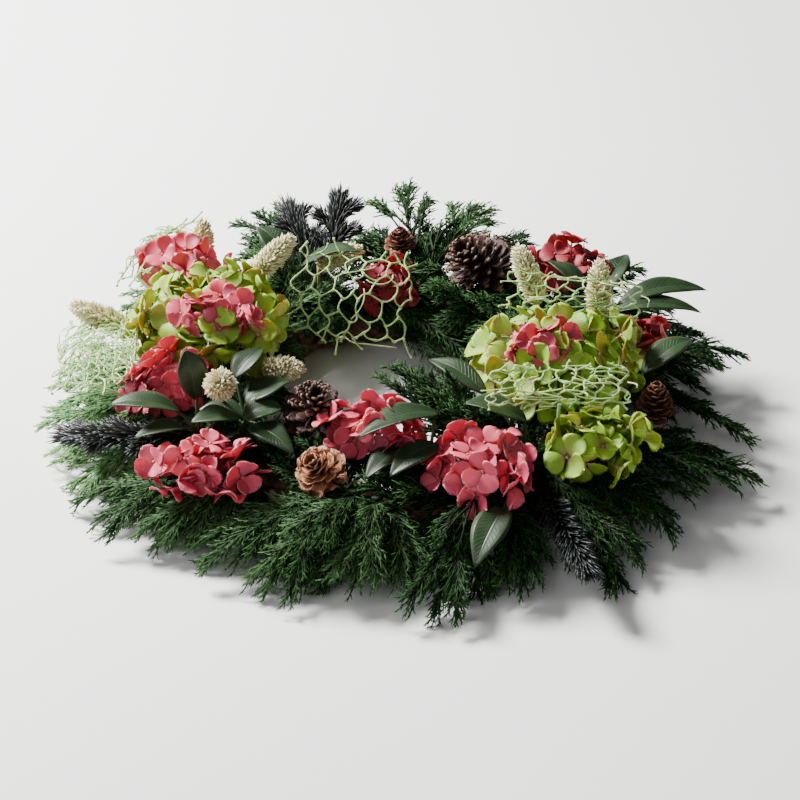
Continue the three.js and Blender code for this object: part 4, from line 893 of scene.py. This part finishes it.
def cone_scales(shape, foot, along, radius, length, count, rng, open_angle, close_angle, wide, thickness,
                knob=0.0):
    """Scales in a spiral round the cone's axis, flat at its foot and closing towards its tip."""
    t = (np.arange(count) + 0.5) / count
    out = around(along, np.arange(count) * GOLDEN)
    rise = np.radians(open_angle + (close_angle - open_angle) * t ** 1.3)
    way = out * np.cos(rise)[:, None] + along * np.sin(rise)[:, None]
    lift = -unit(np.cross(np.cross(along, out), way))
    side = np.cross(way, lift)
    root = foot + along * (length * (0.04 + 0.72 * t))[:, None] + out * (radius * 0.12)
    reach = radius * (0.95 - 0.5 * t ** 1.5) * (0.94 + 0.12 * rng.random(count))
    rows, columns = 8, 7
    u = np.linspace(0, 1, rows)[None, :, None]
    v = np.linspace(-1, 1, columns)[None, None, :]
    span = (wide * radius * (0.95 - 0.45 * t))[:, None, None]
    shape_u = (0.30 + 0.72 * u ** 1.4) * np.sqrt(np.clip(1 - (np.clip(u - 0.72, 0, 1) / 0.30) ** 2, 0.02, 1))
    reach3 = reach[:, None, None]
    x = reach3 * (u - 0.05 * v ** 2 * u)
    y = span * shape_u * v
    flare = (0.10 + 0.05 * rng.standard_normal(count))[:, None, None]
    z = reach3 * (0.16 * u ** 2 - flare * np.clip(u - 0.6, 0, 1) * 2.2) + 0.10 * span * (v ** 2) * u \
        + 0.02 * radius * np.sin(5 * v + (6 * rng.random(count))[:, None, None]) * u ** 2
    grid = placed(root, x, y, z, way, side, lift)
    profile = 0.5 + 1.1 * np.linspace(0, 1, rows) ** 3
    add_sheets(shape, floored(grid), thickness, rng.random(count), profile)
    if knob:
        tip = root + reach[:, None] * way + (0.06 * reach)[:, None] * lift
        width = knob * radius * (1 - 0.45 * t)
        radii = np.stack([0.42 * width, width, 0.62 * width], -1)
        add_beads(shape, tip, way, side, radii, rng.random(count))


def add_beads(shape, middles, way, side, radii, tone):
    """Small rounded knobs, longer across than deep."""
    rings, sides = 6, 10
    a = np.linspace(-0.5 * math.pi, 0.5 * math.pi, rings)[None, :, None]
    b = (np.arange(sides) * 2 * math.pi / sides)[None, None, :]
    lift = np.cross(way, side)
    x, y, z = (radii[:, k, None, None] for k in range(3))
    out = np.maximum(np.cos(a), 0.08)
    points = placed(middles, x * np.sin(a) + 0 * b, y * out * np.cos(b), z * out * np.sin(b), way, side, lift)
    along = 0.9 + 0.1 * np.sin(a) + 0 * b
    shape.add(points, *tube_faces(len(middles), rings, sides), tone[:, None, None], along, 0.0)


# The core's radius from its foot to its tip, as shares of the cone's.
CORE_GIRTH = (0.2, 0.34, 0.36, 0.34, 0.3, 0.24, 0.16, 0.05)


def cone(name, at, radius, length, aim, scales, material, seed):
    shape = Shape()
    slot = "pine_cone" if material == "pine_cone" else "larch_cone"
    rng = np.random.default_rng(seed)
    along = unit(aim)
    foot = np.asarray(at, float) - 0.42 * length * along
    core = foot + along * length * np.linspace(0, 0.86, len(CORE_GIRTH))[:, None]
    add_tubes(shape, core[None], radius * np.array([CORE_GIRTH]), 10, 0.2, along=0.1)
    cone_scales(shape, foot, along, radius, length, scales, rng, **CONE_LOOKS[slot])
    add_stem(shape, foot + 2 * along)
    shape.build(name, MATERIALS[material])


# ---- canary grass
def grass_head(name, at, aim, length=GRASS["length"], radius=GRASS["radius"], *, seed):
    """A dense spike of small pointed, keeled spikelets that stand out and up."""
    shape = Shape()
    rng = np.random.default_rng(seed)
    along = unit(aim)
    foot = np.asarray(at, float) - 0.5 * length * along
    stations = np.linspace(0.02, 0.86, 9)
    body = foot + along * length * stations[:, None]
    full = np.sin(np.pi * (0.08 + 0.99 * stations)) ** 0.5
    add_tubes(shape, body[None], (0.66 * radius * full)[None], 12, 0.3, along=0.3)
    count = int(GRASS["spikelets"] * length * radius)
    t = (np.arange(count) + 0.5) / count
    out = around(along, np.arange(count) * GOLDEN + 0.3 * rng.random(count))
    girth = radius * np.sin(np.pi * (0.10 + 0.885 * t)) ** 0.5
    root = foot + along * (length * 0.86 * t)[:, None] + out * (0.6 * girth)[:, None]
    lean = np.radians(46 + 38 * t ** 3 + 9 * rng.standard_normal(count))
    way = out * np.cos(lean)[:, None] + along * np.sin(lean)[:, None]
    side = unit(np.cross(along, out))
    lift = np.cross(side, way)
    size = (GRASS["spikelet"] * (0.8 + 0.4 * rng.random(count)))[:, None, None]
    u = np.linspace(0, 1, 5)[None, :, None]
    v = np.linspace(-1, 1, 3)[None, None, :]
    x = size * u
    y = 0.23 * size * np.clip(np.sin(np.pi * (0.2 + 0.77 * u)), 0.05, 1) * v
    z = size * (0.12 * u ** 2 - 0.16 * np.abs(v) * np.sin(np.pi * (0.1 + 0.85 * u)))
    add_sheets(shape, placed(root, x, y, z, way, side, lift), GRASS["thickness"], rng.random(count))
    add_stem(shape, foot + 2 * along, radius=STEM["thin"])
    shape.build(name, MATERIALS["grass"])


# ---- fibre nets
FIBRE = {"middle": 0.52, "joint": 0.5, "loose": 0.42, "fray": 0.16, "heading": 6.28,
         "reach": (0.25, 0.35), "swirl": 1.4}


def fibre_net(name, corners, swell, cells, tangle, seed):
    """Uneven honeycomb of fibres that are thick at the joints, with loose fibres tangled over it."""
    shape = Shape()
    rng = np.random.default_rng(seed)
    a, b, c, d = (np.asarray(p, float) for p in corners)
    across, up = cells
    normal = unit(np.cross(b - a, d - a))

    def on_sheet(u, v, lift=0.0):
        u, v = np.asarray(u)[..., None], np.asarray(v)[..., None]
        low, top = a + (b - a) * u, d + (c - d) * u
        hump = swell * 16 * np.clip(u * (1 - u), 0, 1) * np.clip(v * (1 - v), 0, 1)
        return low + (top - low) * v + normal * (hump + np.asarray(lift)[..., None])

    columns, rows = 2 * across + 1, up + 1
    i, j = np.meshgrid(np.arange(columns), np.arange(rows), indexing="ij")
    pull = np.where((i + j) % 2 == 0, 0.2, -0.2) + 0.2 * (rng.random(i.shape) - 0.5)
    u = np.clip((i + 0.6 * (rng.random(i.shape) - 0.5)) / (2 * across), 0, 1)
    v = np.clip((j + pull) / up, 0, 1)
    lift = 2.5 * (rng.random(i.shape) - 0.5)
    pairs = [((p, q), (p + 1, q)) for p in range(columns - 1) for q in range(rows)]
    pairs += [((p, q), (p, q + 1)) for p in range(columns) for q in range(up) if (p + q) % 2 == 0]
    frays = [((p, q), None) for p in range(columns) for q in (0, up) if rng.random() < 0.5]
    s = np.linspace(0, 1, 9)
    paths = []
    for start, end in pairs + frays:
        if end is None:
            v_end = v[start] + FIBRE["fray"] * (1 if start[1] else -1) * (0.5 + rng.random())
            finish = (u[start] + 0.05 * rng.standard_normal(), v_end, lift[start])
        else:
            finish = (u[end], v[end], lift[end])
        bow = 0.10 * rng.standard_normal(2) * s[:, None] * (1 - s[:, None]) * 0.6
        line_u = u[start] + (finish[0] - u[start]) * s + bow[:, 0]
        line_v = v[start] + (finish[1] - v[start]) * s + bow[:, 1]
        paths.append(on_sheet(line_u, line_v, lift[start] + (finish[2] - lift[start]) * s))
    radii = FIBRE["middle"] + FIBRE["joint"] * (2 * np.abs(s - 0.5)) ** 3
    tone = np.clip(0.5 + 0.2 * rng.standard_normal(len(paths)), 0, 1)
    add_tubes(shape, np.array(paths), radii[None], 5, tone)
    loose = []
    for _ in range(tangle):
        start, heading = rng.random(2), FIBRE["heading"] * rng.random()
        reach = FIBRE["reach"][0] + FIBRE["reach"][1] * rng.random()
        swirl = FIBRE["swirl"] * rng.standard_normal()
        angle = heading + swirl * s
        line_u = start[0] + reach * np.cumsum(np.cos(angle)) / 9
        line_v = start[1] + reach * np.cumsum(np.sin(angle)) / 9
        loose.append(on_sheet(np.clip(line_u, -0.06, 1.06), np.clip(line_v, -0.06, 1.06),
                              -2 + 5 * rng.random() + 2 * np.sin(5 * s + heading)))
    tone = np.clip(0.7 + 0.25 * rng.standard_normal(tangle), 0, 1)
    add_tubes(shape, np.array(loose), FIBRE["loose"], 4, tone)
    add_stem(shape, on_sheet(0.5, 0.0), radius=STEM["thin"])
    shape.build(name, MATERIALS["net"])


# ---- the wreath
vine_ring()
for maker, specs, seed in ((cone, PINE_CONES, 20), (cone, LARCH_CONES, 30), (grass_head, GRASS_HEADS, 40),
                           (hydrangea, HYDRANGEAS, 60), (leafy_twig, LEAFY_TWIGS, 80),
                           (fibre_net, NETS, 100), (fir_sprig, FIR_SPRIGS, 120)):
    for number, (name, spec) in enumerate(specs.items()):
        maker(name, *spec, seed=seed + number)
for number, (fork, tips, painted_light, slope) in enumerate(INNER_SPRAYS):
    form = {**INNER, "slope": slope}
    cypress(f"cypress_inner_{number + 1}", fork, tips, painted_light, form, 140 + number)
for number, (fork, tips, painted_light) in enumerate(OUTER_SPRAYS):
    cypress(f"cypress_outer_{number + 1}", fork, tips, painted_light, OUTER, 160 + number)


# ---- floor, light and camera
FLOOR = {"half_side": 6.0, "colours": ((0.3, 0.93), (0.7, 0.97))}
STUDIO = 0.16
# Each light: its place and size in metres, its watts and its colour.
LIGHTS = {
    "window": ((-1.1, 0.75, 1.25), 0.6, 150, (1, 0.985, 0.96)),
    "fill": ((-0.9, -1.0, 1.3), 1.4, 8, (1, 1, 1)),
}
LIT = Vector((0, 0, 0.04))
# What the camera aims at is from the ring's centre, in millimetres. The distance is in metres.
VIEW = {"elevation": 34, "distance": 1.3, "aim": (0, -28, 40), "lens": 94.77, "sensor": 36.0}


def pale_floor():
    paint = Paint("pale_floor", Roughness=0.9)
    material = paint.finish(paint.ramp(paint.noise(3.0, 2.0), *FLOOR["colours"]))
    mesh = bpy.data.meshes.new("floor")
    side = FLOOR["half_side"]
    corners = [(-side, -side, 0), (side, -side, 0), (side, side, 0), (-side, side, 0)]
    mesh.from_pydata(corners, [], [(0, 1, 2, 3)])
    mesh.materials.append(material)
    floor = bpy.data.objects.new("floor", mesh)
    bpy.context.scene.collection.objects.link(floor)


def aimed(name, data, place, target):
    """A lamp or camera at a place, turned to a target."""
    made = bpy.data.objects.new(name, data)
    made.location = place
    made.rotation_euler = (target - made.location).to_track_quat("-Z", "Y").to_euler()
    bpy.context.scene.collection.objects.link(made)
    return made


def area_light(name, place, size, watts, colour):
    data = bpy.data.lights.new(name, "AREA")
    data.shape, data.size, data.energy, data.color = "DISK", size, watts, colour
    aimed(name, data, place, LIT)


def camera():
    data = bpy.data.cameras.new("camera")
    data.lens, data.sensor_width = VIEW["lens"], VIEW["sensor"]
    data.clip_start, data.clip_end = 0.05, 50
    target = Vector((RING_CENTRE + np.array(VIEW["aim"])) * MM)
    a = math.radians(VIEW["elevation"])
    place = target + VIEW["distance"] * Vector((0, -math.cos(a), math.sin(a)))
    bpy.context.scene.camera = aimed("camera", data, place, target)


pale_floor()
world = bpy.data.worlds.new("studio")
world.use_nodes = True
background = world.node_tree.nodes["Background"]
background.inputs["Color"].default_value = (1, 1, 1, 1)
background.inputs["Strength"].default_value = STUDIO
bpy.context.scene.world = world
for name, spec in LIGHTS.items():
    area_light(name, *spec)
camera()
